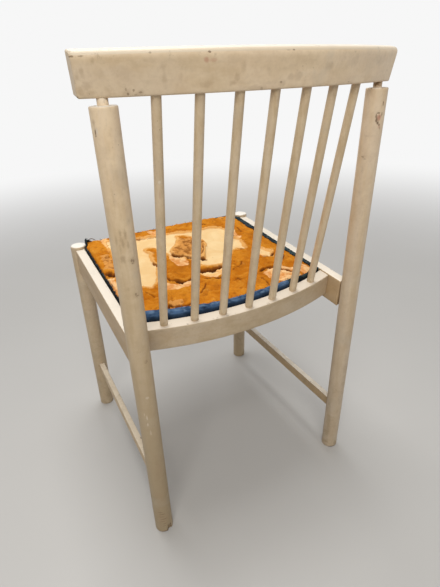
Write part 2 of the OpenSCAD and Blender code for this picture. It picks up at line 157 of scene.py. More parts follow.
# ---------------------------------------------------------------- node tools
class Wire:
    """A socket of a node tree. Sums on wires add the Math nodes that work them out."""

    def __init__(self, bench, socket):
        self.bench, self.socket = bench, socket

    def __add__(self, other):
        return self.bench.maths("ADD", self, other)

    def __sub__(self, other):
        return self.bench.maths("SUBTRACT", self, other)

    def __rsub__(self, other):
        return self.bench.maths("SUBTRACT", other, self)

    def __mul__(self, other):
        return self.bench.maths("MULTIPLY", self, other)

    def __truediv__(self, other):
        return self.bench.maths("DIVIDE", self, other)

    __radd__ = __add__
    __rmul__ = __mul__


class Bench:
    """A node tree and the one method that adds nodes to it."""

    def __init__(self, tree):
        self.tree = tree

    def add(self, kind, settings=None, inputs=None, out=0):
        node = self.tree.nodes.new(kind)
        for key, value in (settings or {}).items():
            setattr(node, key, value)
        for key, value in (inputs or {}).items():
            if isinstance(value, Wire):
                self.tree.links.new(value.socket, node.inputs[key])
            else:
                node.inputs[key].default_value = value
        return Wire(self, node.outputs[out])

    def maths(self, operation, *values):
        return self.add("ShaderNodeMath", {"operation": operation}, dict(enumerate(values)))

    def vectors(self, operation, *values, out=0):
        return self.add("ShaderNodeVectorMath", {"operation": operation},
                        dict(enumerate(values)), out)

    def mix(self, share, first, second, blend="MIX"):
        first, second = ((*c, 1) if isinstance(c, tuple) else c for c in (first, second))
        return self.add("ShaderNodeMix", {"data_type": "RGBA", "blend_type": blend},
                        {0: share, 6: first, 7: second}, 2)

    def most(self, *masks):
        result = masks[0]
        for mask in masks[1:]:
            result = self.maths("MAXIMUM", result, mask)
        return result


class Finish(Bench):
    """The shader tree of one material."""

    def __init__(self, name):
        self.material = bpy.data.materials.new(name)
        self.material.use_nodes = True
        super().__init__(self.material.node_tree)
        self.shader = self.tree.nodes["Principled BSDF"]
        self.place = self.add("ShaderNodeTexCoord", out="Object")

    def step(self, value, low, high):
        """0 at low, 1 at high and smooth between, whichever of them is the larger."""
        if low > high:
            return 1 - self.step(value, high, low)
        return self.add("ShaderNodeMapRange", {"interpolation_type": "SMOOTHSTEP"},
                        {0: value, 1: low, 2: high})

    def layered(self, colour, *layers):
        """Lays colours over the first. A layer is the field that it follows, where it starts
        and where it is full, its strength and its colour."""
        for field, start, full, share, tint in layers:
            colour = self.mix(self.step(field, start, full) * share, colour, tint)
        return colour

    def stretched(self, x, y, z):
        return self.vectors("MULTIPLY", self.place, (x, y, z))

    def noise(self, scale, detail=3.0, rough=0.55, at=None, twist=0.0):
        return self.add("ShaderNodeTexNoise", None, {
            "Vector": at or self.place, "Scale": scale, "Detail": detail,
            "Roughness": rough, "Distortion": twist}, "Fac")

    def cells(self, scale):
        return self.add("ShaderNodeTexVoronoi", None, {
            "Vector": self.place, "Scale": scale}, "Distance")

    def attribute(self, name):
        return self.add("ShaderNodeAttribute", {"attribute_name": name}, out="Fac")

    def axis(self, which, at=None):
        return self.add("ShaderNodeSeparateXYZ", None, {0: at or self.place}, which)

    def up(self):
        """How far the surface faces up, from -1 to 1."""
        return self.axis("Z", self.add("ShaderNodeNewGeometry", out="Normal"))

    def apart(self, place, size):
        """Distance from a place, in sizes along the three axes."""
        offset = self.vectors("SUBTRACT", self.place, tuple(place))
        return self.vectors("LENGTH", self.vectors("DIVIDE", offset, tuple(size)), out=1)

    def spots(self, marks, uneven, start, full):
        """A mask for each mark, which starts and is full at distances in its own size."""
        return [self.step(self.apart(place, size) + uneven, start, full) * much
                for place, size, much in marks]

    def bump(self, height, strength, depth):
        return self.add("ShaderNodeBump", None, {
            "Height": height, "Strength": strength, "Distance": depth})

    def finish(self, colour, rough, normal=None, specular=0.5):
        for name, value in (("Base Color", colour), ("Roughness", rough), ("Normal", normal)):
            if isinstance(value, Wire):
                self.tree.links.new(value.socket, self.shader.inputs[name])
            elif value is not None:
                self.shader.inputs[name].default_value = value
        self.shader.inputs["Specular IOR Level"].default_value = specular
        return self.material


class Shaper(Bench):
    """A Geometry Nodes tree with named inputs."""

    def __init__(self, name, **inputs):
        super().__init__(bpy.data.node_groups.new(name, "GeometryNodeTree"))
        face = self.tree.interface
        self.names = {}
        face.new_socket("Geometry", in_out="INPUT", socket_type="NodeSocketGeometry")
        face.new_socket("Geometry", in_out="OUTPUT", socket_type="NodeSocketGeometry")
        for label, kind in inputs.items():
            socket = face.new_socket(label, in_out="INPUT", socket_type="NodeSocket" + kind)
            self.names[label] = socket.identifier
        self.given = self.tree.nodes.new("NodeGroupInput")

    def input(self, label):
        return Wire(self, self.given.outputs[label])

    def given_shape(self):
        return Wire(self, self.given.outputs["Geometry"])

    def random(self, low, high, seed):
        if isinstance(low, tuple):
            return self.add("FunctionNodeRandomValue", {"data_type": "FLOAT_VECTOR"},
                            {0: low, 1: high, "Seed": seed}, 0)
        return self.add("FunctionNodeRandomValue", {"data_type": "FLOAT"},
                        {2: low, 3: high, "Seed": seed}, 1)

    def end(self, shape, material):
        shape = self.add("GeometryNodeSetShadeSmooth", None, {0: shape, 2: True})
        shape = self.add("GeometryNodeRealizeInstances", None, {0: shape})
        shape = self.add("GeometryNodeSetMaterial", None, {0: shape, 2: material})
        output = self.tree.nodes.new("NodeGroupOutput")
        self.tree.links.new(shape.socket, output.inputs[0])

    def make(self, name, slot, start=None, **values):
        """Runs the tree on a mesh, or on nothing, and returns the result as a plain piece."""
        holder = bpy.data.objects.new("holder", start or bpy.data.meshes.new("holder"))
        bpy.context.scene.collection.objects.link(holder)
        modifier = holder.modifiers.new("shape", "NODES")
        modifier.node_group = self.tree
        for label, value in values.items():
            modifier[self.names[label]] = value
        seen = holder.evaluated_get(bpy.context.evaluated_depsgraph_get())
        mesh = bpy.data.meshes.new_from_object(seen)
        bpy.data.objects.remove(holder)
        mesh.name = name
        piece = bpy.data.objects.new(name, mesh)
        bpy.context.scene.collection.objects.link(piece)
        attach(piece, "root")
        return piece


# ---------------------------------------------------------------- marks of wear
def on_crest(x, up):
    """A place on the crest board's back face, in mm across it and up it."""
    radius = CREST_HEEL_R + up * MM * math.sin(CREST_RAKE)
    y = CREST_C + math.sqrt(radius ** 2 - (x * MM) ** 2)
    return Vector((x * MM, y, CREST_HEEL_Z + up * MM * math.cos(CREST_RAKE)))


def on_post(side, height, round_to):
    """A place on a rear post, in mm up it and in degrees round it from straight back."""
    axis = on_leg(REAR_FOOT, REAR_TOP, height * MM)
    a = math.radians(round_to)
    return Vector((side * axis.x + LEG_R * math.sin(a), axis.y + LEG_R * math.cos(a), axis.z))


# a mark is its place, its size along the two ways of the surface in mm, and its strength
CREST_CHIPS = [(96, 42.6, 1.9, 1.4, 0.75), (160, 43.0, 1.6, 1.2, 0.45), (-13, 43.0, 1.8, 1.1, 0.6),
               (-4, 42.6, 3.4, 0.5, 0.35), (237, 41.5, 2.4, 1.1, 0.7), (228, 41.6, 2.8, 0.8, 0.5),
               (237, 1.6, 2.2, 1.6, 0.7), (185, 3.5, 1.3, 1.5, 0.55), (187, 8.5, 1.0, 1.4, 0.35),
               (179, 7, 1.2, 1.6, 0.50), (172, 4.6, 2.0, 1.0, 0.45), (177, 2.6, 1.6, 0.7, 0.3),
               (1, 8.5, 1.7, 1.4, 0.45), (28, 3, 2, 1.4, 0.3), (-120, 4, 2, 0.8, 0.3)]
CREST_SMUDGES = [(185, 5, 7, 4, 0.5), (173, 4, 6, 4, 0.5), (229, 27, 3, 6, 0.6),
                 (234, 21, 3, 4, 0.5), (226, 13, 5, 4, 0.6), (232, 8, 4, 5, 0.5),
                 (218, 37, 3.2, 3.6, 0.7), (222, 6, 5, 3, 0.5), (212, 24, 7, 6, 0.3),
                 (147, 29, 5, 5, 0.5), (146, 18, 3, 9, 0.4), (61, 16, 4, 5, 0.5),
                 (66, 10, 5, 3, 0.45), (54, 29, 4, 7, 0.5), (-25, 16, 6, 5, 0.45),
                 (0, 8, 6, 4, 0.5), (-12, 14, 5, 4, 0.4), (-76, 24, 12, 6, 0.35),
                 (128, 18, 3, 8, 0.35), (190, 24, 12, 8, 0.3), (-120, 30, 16, 8, 0.3),
                 (206, 9, 5, 5, 0.45), (98, 10, 8, 4, 0.4), (-190, 28, 16, 9, 0.3),
                 (40, 4, 22, 3, 0.4), (160, 36, 9, 3, 0.3), (20, 22, 5, 9, 0.3)]
CREST_STAINS = [(100, 35, 3.6, 3.8, 1), (92, 34, 6, 2.6, 0.6)]
LEFT_POST_CHIPS_AND_FOOT_SHADE = [(721, 67, 1.4, 4.6, 0.8), (564, -12, 1.5, 2, 0.5),
                   (563, -22, 1.6, 2.4, 0.5), (560, -16, 2.4, 0.9, 0.45),
                   (515, -10, 1.2, 2.2, 0.5), (512, -18, 2.6, 0.8, 0.4),
                   (402, -20, 0.8, 2.4, 0.35), (399, -14, 1.6, 0.7, 0.35),
                   (58, 30, 4.5, 0.8, 0.6), (52, 20, 6, 0.8, 0.6), (45, 25, 5, 0.7, 0.6),
                   (38, 12, 6, 0.8, 0.6), (31, 24, 5, 0.7, 0.5), (24, 8, 5, 0.8, 0.5),
                   (18, 16, 4, 0.8, 0.5), (4, -20, 5.4, 4.6, 0.9), (12, -32, 1.2, 4, 0.7),
                   # The mark at the very foot is a dark line, partly dirt and partly a painted
                   # contact shadow.
                   (0.2, 2, 10, 3.0, 0.95)]
LEFT_POST_SMUDGES = [(599, 0, 2.2, 8, 0.9), (589, 16, 2.0, 8, 0.8), (601, 22, 2.2, 8, 0.8),
                     (587, -6, 1.8, 7, 0.7), (574, -32, 2.0, 8, 0.7), (594, 44, 1.8, 8, 0.5),
                     (580, 30, 1.8, 9, 0.5), (595, 10, 7, 10, 0.25), (568, 26, 3.4, 6, 0.9),
                     (564, -18, 6, 5, 0.6), (512, -12, 5, 5, 0.5), (524, 22, 3, 4, 0.4),
                     (668, -4, 8, 20, 0.25), (402, -14, 4, 4, 0.6), (434, 10, 9, 14, 0.3),
                     (279, 84, 2.4, 14, 0.7), (172, 4, 7, 30, 0.4), (731, 66, 3.2, 6, 0.7),
                     (90, 20, 12, 28, 0.45), (40, 18, 14, 20, 0.5), (700, 30, 6, 8, 0.25),
                     (648, 24, 3, 16, 0.3), (622, -20, 3, 14, 0.3)]
LEFT_POST_SCUFFS = [(723, 55, 2.0, 4.4, 0.9), (334, 8, 3, 3, 0.4), (294, 24, 1.5, 6.5, 0.6),
                    (279, 25, 1.2, 4.5, 0.55), (300, 36, 0.8, 5, 0.4), (262, 15, 1.2, 7, 0.35)]
RIGHT_POST_STAINS = [(708, 15, 4.4, 7.0, 1.3), (694, 6, 3, 5, 0.7)]
RIGHT_POST_CHIPS_AND_FOOT_SHADE = [(709, 31, 1.5, 3.6, 0.65), (713, 22, 2.6, 1.5, 0.6), (703, 27, 2.0, 3.4, 0.75),
                    (699, 19, 2.0, 2.3, 0.8), (696, 10, 1.7, 2.3, 0.6), (691, 1, 1.2, 2.8, 0.4),
                    (708, 11, 1.2, 2.0, 0.3), (711, 1, 1.3, 3.2, 0.55),
                    (726, 0, 0.9, 4.4, 0.85), (648, 76, 3.2, 0.7, 0.6),
                    (645, 60, 2.4, 0.6, 0.5), (169, 46, 1.2, 1, 0.4),
                    # The last mark on the next line, at the very foot, is a dark line, partly dirt
                    # and partly a painted contact shadow.
                    (83, 38, 1, 0.8, 0.4), (360, 60, 0.9, 1.2, 0.3), (0.2, 18, 10, 2.6, 0.8)]
RIGHT_POST_SMUDGES_AND_SHADE = [(705, 24, 4, 7, 0.7), (648, 70, 6, 4, 0.4), (380, 90, 6, 18, 0.3),
                      (169, 46, 9, 24, 0.35), (60, 40, 12, 26, 0.4), (560, 60, 8, 20, 0.25),
                      # The first mark on the next line, at the tenon's neck, is a painted shadow
                      # in the gap under the crest board.
                      (753, 0, 40, 5, 2.2), (680, 60, 12, 2, 0.3), (300, 20, 5, 30, 0.3)]


CREST_MARK_DEPTH = 6 * MM


def crest_marks(marks):
    return [(on_crest(x, up), (a * MM, CREST_MARK_DEPTH, b * MM), much)
            for x, up, a, b, much in marks]


def post_marks(side, marks):
    """Marks on a post, wide by high, kept to the post's near side by their depth."""
    return [(on_post(side, z, turn), (a * MM, a * MM, b * MM), much)
            for z, turn, a, b, much in marks]


def spindle_foot(i):
    """Where one spindle stands on the rear rail."""
    x = (i - (SPINDLE_COUNT - 1) / 2) * SPINDLE_PITCH
    middle = REAR_RAIL_R - REAR_RAIL_T / 2
    return seat(x, REAR_RAIL_C + math.sqrt(middle ** 2 - x ** 2), -REAR_RAIL_DROP)


def spindle_head(i):
    """Where its axis meets the crest board."""
    x = spindle_foot(i).x * SPINDLE_SPREAD
    return Vector((x, CREST_C + math.sqrt(CREST_MID_R ** 2 - x ** 2), CREST_MID_Z))


def along_spindle(i, share):
    return spindle_foot(i).lerp(spindle_head(i), share)


# ---------------------------------------------------------------- materials
DIRT = (0.315, 0.235, 0.140)
FLOOR_DIRT = (0.345, 0.262, 0.155)
GREY_DUST = (0.445, 0.400, 0.325)
SMUDGE_AND_SHADE = (0.340, 0.232, 0.135)
FRESH_PAINT = (0.700, 0.600, 0.470)
KNOT_RED = (0.430, 0.160, 0.105)
BARE_WOOD_AND_FOOT_SHADE = (0.130, 0.072, 0.034)
FOAM_PIT = (0.190, 0.058, 0.010)
FOAM_CREVICE_SHADE = (0.080, 0.025, 0.006)
WEAVE_PITCH = 1.3 * MM


def cream_paint(name, grain=(1, 1, 1), chips_and_foot_shade=(), smudges_and_shade=(), stains=(), grime=0.35,
                scuffs=(), darken_low=0.0, darken_low_from=0.78, low_colour=(0.400, 0.305, 0.180), light_and_shade_tone=(1, 1, 1),
                left_end_shade_tone=None, rubbed=0.6, pale_from=(0.45, 0.85), pale=(0.80, 0.735, 0.635),
                top_face_highlight=None):
    """Old cream paint on wood: mottled, smeared and nicked, with painted shadow in some corners, a
    painted highlight on faces that look up, and a colour factor per piece that paints in the light
    and shade falling on it.
    """
    b = Finish(name)
    broad = b.noise(6, 2)
    mottle = b.noise(34, 4, 0.6, twist=0.4)
    along = b.stretched(*grain)
    streak = b.noise(26, 4, 0.6, at=along)
    hair = b.noise(120, 3, 0.6, at=along)
    speckle = b.noise(230, 3, 0.6)
    colour = b.mix(b.step(mottle, 0.30, 0.70), (0.600, 0.452, 0.283), (0.690, 0.548, 0.368))
    colour = b.layered(colour,
                       (streak, 0.38, 0.66, 0.55, (0.670, 0.548, 0.412)),
                       (streak, 0.50, 0.30, 0.55, (0.500, 0.372, 0.222)),
                       (broad, 0.45, 0.75, 0.40, (0.565, 0.432, 0.277)),
                       (hair, 0.52, 0.72, 0.28, (0.480, 0.372, 0.245)),
                       (speckle, 0.50, 0.66, 0.18, (0.490, 0.372, 0.242)),
                       (speckle, 0.50, 0.34, 0.10, (0.730, 0.602, 0.440)))
    # Painted light and shade: each piece's colour factor stands for how much light falls on it,
    # and the crest board's left end is set darker than the rest.
    if left_end_shade_tone:
        light_and_shade_tone = b.mix(b.step(b.axis("X"), 0.02, 0.17), light_and_shade_tone, left_end_shade_tone)
    colour = b.mix(1.0, colour, light_and_shade_tone, "MULTIPLY")
    # Darker and browner towards the bottom of the piece.
    if darken_low:
        colour = b.layered(colour, (b.axis("Z"), darken_low_from, 0.10, darken_low, low_colour))
    # Painted highlight: faces that look up are mixed towards a paler colour, as if lit from above.
    top = b.step(b.up(), *pale_from)
    colour = b.mix(top * 0.92, colour, pale)
    # Painted highlight: the flattest top faces get a near-white colour.
    if top_face_highlight:
        colour = b.layered(colour, (b.up(), 0.80, 0.96, 0.92, top_face_highlight))

    # dirt: soft brown clouds, thicker near the floor and thinner on faces that look up, which adds
    # to the painted highlight there
    floor = b.step(b.axis("Z"), 0.42, 0.0)
    cloud = b.noise(48, 5, 0.65, twist=0.6)
    dirt = b.step(cloud * 0.55 + streak * 0.45 + floor * 0.10, 0.53, 0.74)
    colour = b.mix(dirt * (0.26 + floor * 0.45) * (1 - 0.55 * top), colour, DIRT)
    colour = b.mix(floor * grime, colour, FLOOR_DIRT)
    colour = b.layered(colour, (b.noise(19, 3, twist=0.3), 0.55, 0.72, 0.20, GREY_DUST))

    # pinholes and flecks, rubbed edges, and the marks of this piece
    fleck = b.step(b.cells(120), 0.10, 0.04) * b.step(b.noise(21, 1), 0.58, 0.62)
    rub = b.attribute("rim") * b.step(b.noise(75, 4, 0.7), 0.60, 0.68) * rubbed
    jagged = (b.noise(420, 2, 0.6) - 0.5) * 1.4
    wander = b.noise(110, 3, 0.6) - 0.5
    blot = (cloud - 0.5) * 2.6
    chip_and_foot_shade = b.most(fleck * 0.45, rub, *b.spots(chips_and_foot_shade, jagged, 1.15, 0.7))
    # Smudges are dirt, and some are painted shadow: under the spindle heads, at the spindle feet
    # and at the right post's neck.
    if smudges_and_shade:
        smudge_and_shade = b.most(*b.spots(smudges_and_shade, wander * 2.2 + blot, 1.3, 0.1))
        colour = b.mix(b.maths("MINIMUM", smudge_and_shade * 0.62, 0.95), colour, SMUDGE_AND_SHADE)
    for mark in b.spots(scuffs, wander * 1.6, 1.15, 0.3):
        colour = b.mix(mark, colour, FRESH_PAINT)
    for mark in b.spots(stains, wander * 1.6, 1.1, 0.2):
        colour = b.mix(mark * 0.50, colour, KNOT_RED)
    # Chips show dark bare wood; the same colour paints the dark line at the post feet, partly dirt
    # and partly a painted contact shadow.
    colour = b.mix(chip_and_foot_shade, colour, BARE_WOOD_AND_FOOT_SHADE)
    rough = 0.40 + mottle * 0.12 + dirt * 0.15 + chip_and_foot_shade * 0.2
    height = speckle * 0.20 + streak * 0.30 + hair * 0.12 - chip_and_foot_shade * 1.4
    return b.finish(colour, rough, b.bump(height, 0.35, 0.0006), 0.42)


def bare_wood(name, light, dark, grain, scale):
    """Unpainted wood with its grain along one axis."""
    b = Finish(name)
    along = b.stretched(*grain)
    rings = b.noise(scale, 4, 0.6, at=along, twist=0.8)
    fibre = b.noise(scale * 9, 2, 0.5, at=along)
    colour = b.layered(b.mix(b.step(rings, 0.35, 0.68), light, dark),
                       (fibre, 0.5, 0.75, 0.35, tuple(c * 0.6 for c in dark)),
                       (b.noise(30, 3), 0.5, 0.8, 0.3, (0.32, 0.26, 0.19)))
    return b.finish(colour, 0.62 + fibre * 0.2, b.bump(fibre + rings, 0.3, 0.0004), 0.3)


def screw_steel():
    b = Finish("screw_steel")
    rust = b.step(b.noise(420, 4, 0.7), 0.50, 0.66)
    colour = b.mix(rust, (0.36, 0.35, 0.33), (0.20, 0.085, 0.035))
    b.shader.inputs["Metallic"].default_value = 0.8
    return b.finish(colour, 0.34 + rust * 0.4, b.bump(rust, 0.2, 0.0002))


def crumbled_foam(name):
    """Foam whose top has gone orange and brittle, with cream where it has broken away. Its colour
    is painted lighter on raised lumps and darker in low places and in the cracks, which is painted
    light and shade.
    """
    b = Finish(name)
    broad = b.noise(17, 4, 0.6, twist=0.5)
    lump = b.noise(75, 4, 0.65, twist=0.4)
    grain = b.noise(330, 3, 0.7)
    pore = b.noise(950, 2, 0.6)
    raised = b.attribute("raised")
    ragged = (grain - 0.5) * 0.5 + (lump - 0.5) * 0.6
    patch = b.noise(42, 3, 0.6, twist=0.8)
    patchy, lit_relief = patch + ragged * 0.2, raised + ragged * 0.8
    orange = b.mix(b.step(broad + ragged * 0.2, 0.36, 0.64), (0.500, 0.165, 0.010),
                   (0.640, 0.255, 0.024))
    orange = b.layered(orange,
                       (patchy, 0.52, 0.66, 0.55, (0.390, 0.128, 0.012)),
                       (patchy, 0.46, 0.32, 0.45, (0.700, 0.320, 0.045)),
                       # Painted light and shade: lighter orange on raised lumps, dark orange-brown
                       # in low places.
                       (lit_relief, 0.12, 0.90, 0.50, (0.730, 0.345, 0.055)),
                       (lit_relief, -0.16, -1.0, 0.85, (0.270, 0.080, 0.009)))
    orange = b.mix(1.0, orange, (0.95, 0.88, 0.70), "MULTIPLY")
    # The brown patch is painted lighter where the foam is raised.
    brown = b.mix(b.step(lump + (grain - 0.5) * 0.3 + raised * 0.25, 0.36, 0.64),
                  (0.330, 0.130, 0.028), (0.660, 0.300, 0.075))
    cream = b.mix(b.step(broad, 0.35, 0.65), (0.810, 0.555, 0.268), (0.862, 0.645, 0.352))
    cream = b.layered(cream, (lump, 0.55, 0.8, 0.35, (0.830, 0.500, 0.200)))
    # Peach is painted lighter where the foam is raised.
    peach = b.mix(b.step(lump + raised * 0.3, 0.35, 0.70), (0.700, 0.300, 0.090),
                  (0.880, 0.560, 0.270))
    bare = b.attribute("torn") + ragged * 0.45
    colour = b.mix(b.step(b.attribute("scorched") + ragged, 0.35, 0.80), orange, brown)
    colour = b.mix(b.step(b.attribute("peach") + ragged, 0.35, 0.80), colour, peach)
    halo = b.attribute("halo") + (lump - 0.5) * 1.6 + (patch - 0.5) * 0.8
    colour = b.layered(colour,
                       (halo, 0.25, 0.85, 0.70, (0.850, 0.485, 0.170)),
                       (bare, 0.22, 0.50, 0.85, (0.760, 0.400, 0.140)))
    colour = b.mix(b.step(bare, 0.50, 0.72), colour, cream)
    pit = b.step(b.cells(260), 0.26, 0.10) * b.step(b.noise(60, 2), 0.48, 0.60)
    colour = b.mix(pit * 0.25 * (1 - b.attribute("torn")), colour, FOAM_PIT)
    # Painted shade in the cracks: dark brown, near black where they are deepest.
    crack = b.attribute("crack") + ragged * 0.5
    colour = b.layered(colour,
                       (crack, 0.10, 0.50, 0.80, (0.230, 0.068, 0.010)),
                       (crack, 0.50, 1.0, 1.0, FOAM_CREVICE_SHADE))
    height = grain * 0.7 + pore * 0.4 + lump * 0.6
    return b.finish(colour, 0.93, b.bump(height, 0.65, 0.0014), 0.05)


def woven_cloth(name):
    """Blue woven cover cloth, with a painted highlight on its rucks and on the top of its lap, a
    painted shadow low on the lap, and darker at the sides, partly its own navy and partly painted
    shade.
    """
    b = Finish(name)
    flat = b.add("ShaderNodeUVMap", {"uv_map": "cut"})
    turns = math.tau / WEAVE_PITCH
    warp = b.maths("SINE", b.axis("X", flat) * turns)
    weft = b.maths("SINE", b.axis("Y", flat) * turns)
    weave = warp * weft
    fold_light = b.attribute("fold_light")
    cloud = b.noise(55, 3)
    blue = b.mix(b.step(cloud, 0.35, 0.68), (0.026, 0.058, 0.125), (0.062, 0.125, 0.245))
    # Painted highlight on the rucks and the top of the lap.
    blue = b.layered(blue, (fold_light, 0.48, 0.9, 0.65, (0.150, 0.235, 0.360)))
    # The sides are darker: partly the cloth's own navy and teal, partly painted shade.
    side_navy_and_shade = b.mix(b.step(cloud, 0.42, 0.62), (0.008, 0.014, 0.019), (0.028, 0.052, 0.058))
    side_navy_and_shade = b.layered(side_navy_and_shade, (b.noise(120, 3), 0.58, 0.72, 0.55, (0.130, 0.170, 0.165)))
    fuzz = b.noise(500, 3, 0.7)
    colour = b.layered(b.mix(b.attribute("side"), blue, side_navy_and_shade),
                       (fuzz, 0.6, 0.8, 0.30, (0.24, 0.28, 0.31)),
                       # Painted shadow low on the lap, where the cloth goes down into the gap at
                       # the rail.
                       (fold_light, 0.38, 0.05, 0.80, (0.005, 0.008, 0.014)))
    return b.finish(colour, 0.92, b.bump(weave * 0.5 + fuzz, 0.5, 0.0005), 0.15)


def torn_thread(name, light, dark):
    b = Finish(name)
    colour = b.mix(b.step(b.noise(160, 2), 0.4, 0.6), light, dark)
    return b.finish(colour, 0.9, b.bump(b.noise(1800, 2), 0.4, 0.0003), 0.15)


# Each piece has its own copy of the paint: a colour factor per piece paints in the light and shade
# that falls on it, and the pale colour is a painted highlight on faces that look up. The crest
# board is made lighter with a darker left end, and its top face gets a near-white painted
# highlight.
CREST_PAINT = cream_paint("cream_paint_crest", (0.30, 1, 1), crest_marks(CREST_CHIPS),
                          crest_marks(CREST_SMUDGES), crest_marks(CREST_STAINS),
                          light_and_shade_tone=(1.15, 1.16, 1.20), left_end_shade_tone=(1.02, 1.02, 1.02), rubbed=0.25,
                          pale_from=(0.28, 0.46), pale=(0.62, 0.525, 0.395),
                          top_face_highlight=(0.735, 0.672, 0.572))
LEFT_POST_PAINT = cream_paint("cream_paint_left_post", (2.0, 2.0, 0.22),
                              post_marks(1, LEFT_POST_CHIPS_AND_FOOT_SHADE), post_marks(1, LEFT_POST_SMUDGES),
                              scuffs=post_marks(1, LEFT_POST_SCUFFS), grime=0.55, darken_low=0.88,
                              darken_low_from=0.88, low_colour=(0.340, 0.255, 0.150),
                              light_and_shade_tone=(1.22, 1.22, 1.22))
RIGHT_POST_PAINT = cream_paint("cream_paint_right_post", (2.0, 2.0, 0.22),
                               post_marks(-1, RIGHT_POST_CHIPS_AND_FOOT_SHADE),
                               post_marks(-1, RIGHT_POST_SMUDGES_AND_SHADE),
                               post_marks(-1, RIGHT_POST_STAINS), grime=0.14, darken_low=0.44,
                               low_colour=(0.390, 0.325, 0.250), light_and_shade_tone=(1.06, 1.06, 1.08))
SPINDLE_PAINT = cream_paint(
    "cream_paint_spindles", (4.5, 4.5, 0.32), grime=0.3, light_and_shade_tone=(0.97, 0.97, 0.95),
    # Dark patches at the spindle feet: dirt and a painted contact shadow where they meet the rear
    # rail.
    smudges_and_shade=[(spindle_foot(i) + Vector((0, 0, 2 * MM)), (9 * MM, 9 * MM, 6 * MM), 0.8)
             for i in range(SPINDLE_COUNT)]
    # Dark patches under the spindle heads: a painted shadow cast by the crest board.
    + [(spindle_head(i) - Vector((0, 0, 8 * MM)), (9 * MM, 9 * MM, 8 * MM), 1.0 - 0.12 * i)
       for i in range(SPINDLE_COUNT)],
    scuffs=[(along_spindle(6, 0.702) + Vector((2, 7, 0)) * MM, (2 * MM, 4 * MM, 2.2 * MM), 0.9)],
    stains=[(along_spindle(6, 0.65) + Vector((2, 7, 0)) * MM, (1.2 * MM, 3 * MM, 12 * MM), 0.6)])
# Painted highlight: the stretcher bars get a very pale colour on their tops. Painted shade: the
# right bar, the seat rails and the cross rails are set darker.
LEFT_BAR_PAINT = cream_paint("cream_paint_left_bar", (1, 0.28, 1), light_and_shade_tone=(1.02, 0.95, 0.83),
                             pale_from=(0.10, 0.45), pale=(0.97, 0.86, 0.70))
RIGHT_BAR_PAINT = cream_paint("cream_paint_right_bar", (1, 0.28, 1), light_and_shade_tone=(0.74, 0.66, 0.53),
                              pale_from=(0.05, 0.35), pale=(0.98, 0.93, 0.84))
RAIL_PAINT = cream_paint("cream_paint_rails", (1, 0.28, 1), light_and_shade_tone=(0.76, 0.68, 0.56))
CROSS_PAINT = cream_paint("cream_paint_cross_rails", (0.28, 1, 1), light_and_shade_tone=(0.80, 0.80, 0.80),
                          pale=(0.67, 0.59, 0.49))
FRONT_PAINT = cream_paint("cream_paint_front_legs", (1, 1, 0.22), grime=0.42,
                          light_and_shade_tone=(0.90, 0.90, 0.90), pale=(0.86, 0.83, 0.77))
BEECH = bare_wood("bare_beech", (0.50, 0.33, 0.18), (0.36, 0.215, 0.105), (0.12, 1, 1), 60)
PLYWOOD = bare_wood("plywood", (0.46, 0.31, 0.17), (0.30, 0.18, 0.09), (1, 0.1, 1), 36)
STEEL = screw_steel()
FOAM = crumbled_foam("crumbled_foam")
CLOTH = woven_cloth("blue_cover_cloth")
THREAD = torn_thread("torn_thread", (0.030, 0.050, 0.085), (0.075, 0.095, 0.115))
CURL = torn_thread("brown_thread", (0.110, 0.060, 0.030), (0.055, 0.030, 0.018))


# ---------------------------------------------------------------- mesh tools
def add_mesh(name, points, faces, material):
    mesh = bpy.data.meshes.new(name)
    mesh.from_pydata([tuple(p) for p in points], [], faces)
    mesh.update()
    piece = bpy.data.objects.new(name, mesh)
    bpy.context.scene.collection.objects.link(piece)
    mesh.materials.append(material)
    mesh.polygons.foreach_set("use_smooth", [True] * len(mesh.polygons))
    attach(piece, "root")
    return piece


def give(piece, name, values):
    """Gives each point of a piece a number that its material reads."""
    layer = piece.data.attributes.new(name, "FLOAT", "POINT")
    layer.data.foreach_set("value", [float(v) for v in values])


def point_out(piece):
    """Turns all faces of a closed piece outwards."""
    shape = bmesh.new()
    shape.from_mesh(piece.data)
    bmesh.ops.recalc_face_normals(shape, faces=shape.faces)
    shape.to_mesh(piece.data)
    shape.free()


CORNER_SIGNS = ((1, 1), (-1, 1), (-1, -1), (1, -1))
CORNER_STEPS = 3
SHARPEST = 0.05 * MM


def rounded_section(half_a, half_b, radii, inset, per_side):
    """Points round a rectangle with rounded corners, and which of them are on a corner."""
    corners = []
    for k, (sa, sb) in enumerate(CORNER_SIGNS):
        r = max(radii[k] - inset, SHARPEST)
        ca, cb = sa * (half_a - inset - r), sb * (half_b - inset - r)
        turns = [math.pi / 2 * (k + j / CORNER_STEPS) for j in range(CORNER_STEPS + 1)]
        corners.append([(ca + r * math.cos(a), cb + r * math.sin(a)) for a in turns])
    points, rims = [], []
    for k, corner in enumerate(corners):
        here, there = corner[-1], corners[(k + 1) % 4][0]
        count = per_side[k % 2]
        shares = [j / count for j in range(1, count)]
        points += corner
        points += [(here[0] + (there[0] - here[0]) * t, here[1] + (there[1] - here[1]) * t)
                   for t in shares]
        rims += [1.0] * len(corner) + [0.0] * len(shares)
    return points, rims


def tube(name, rows, material, rims, node):
    """A closed skin over rows of points that all have one length. It stands for a CAD node."""
    count = len(rows[0])
    points = [p for row in rows for p in row]
    faces = [(i * count + j, i * count + (j + 1) % count,
              (i + 1) * count + (j + 1) % count, (i + 1) * count + j)
             for i in range(len(rows) - 1) for j in range(count)]
    faces += [tuple(range(count)), tuple(range((len(rows) - 1) * count, len(points)))]
    piece = add_mesh(name, points, faces, material)
    for cap in (-1, -2):
        piece.data.polygons[cap].use_smooth = False
    give(piece, "rim", rims)
    point_out(piece)
    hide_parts(node)


END_TURNS = 3


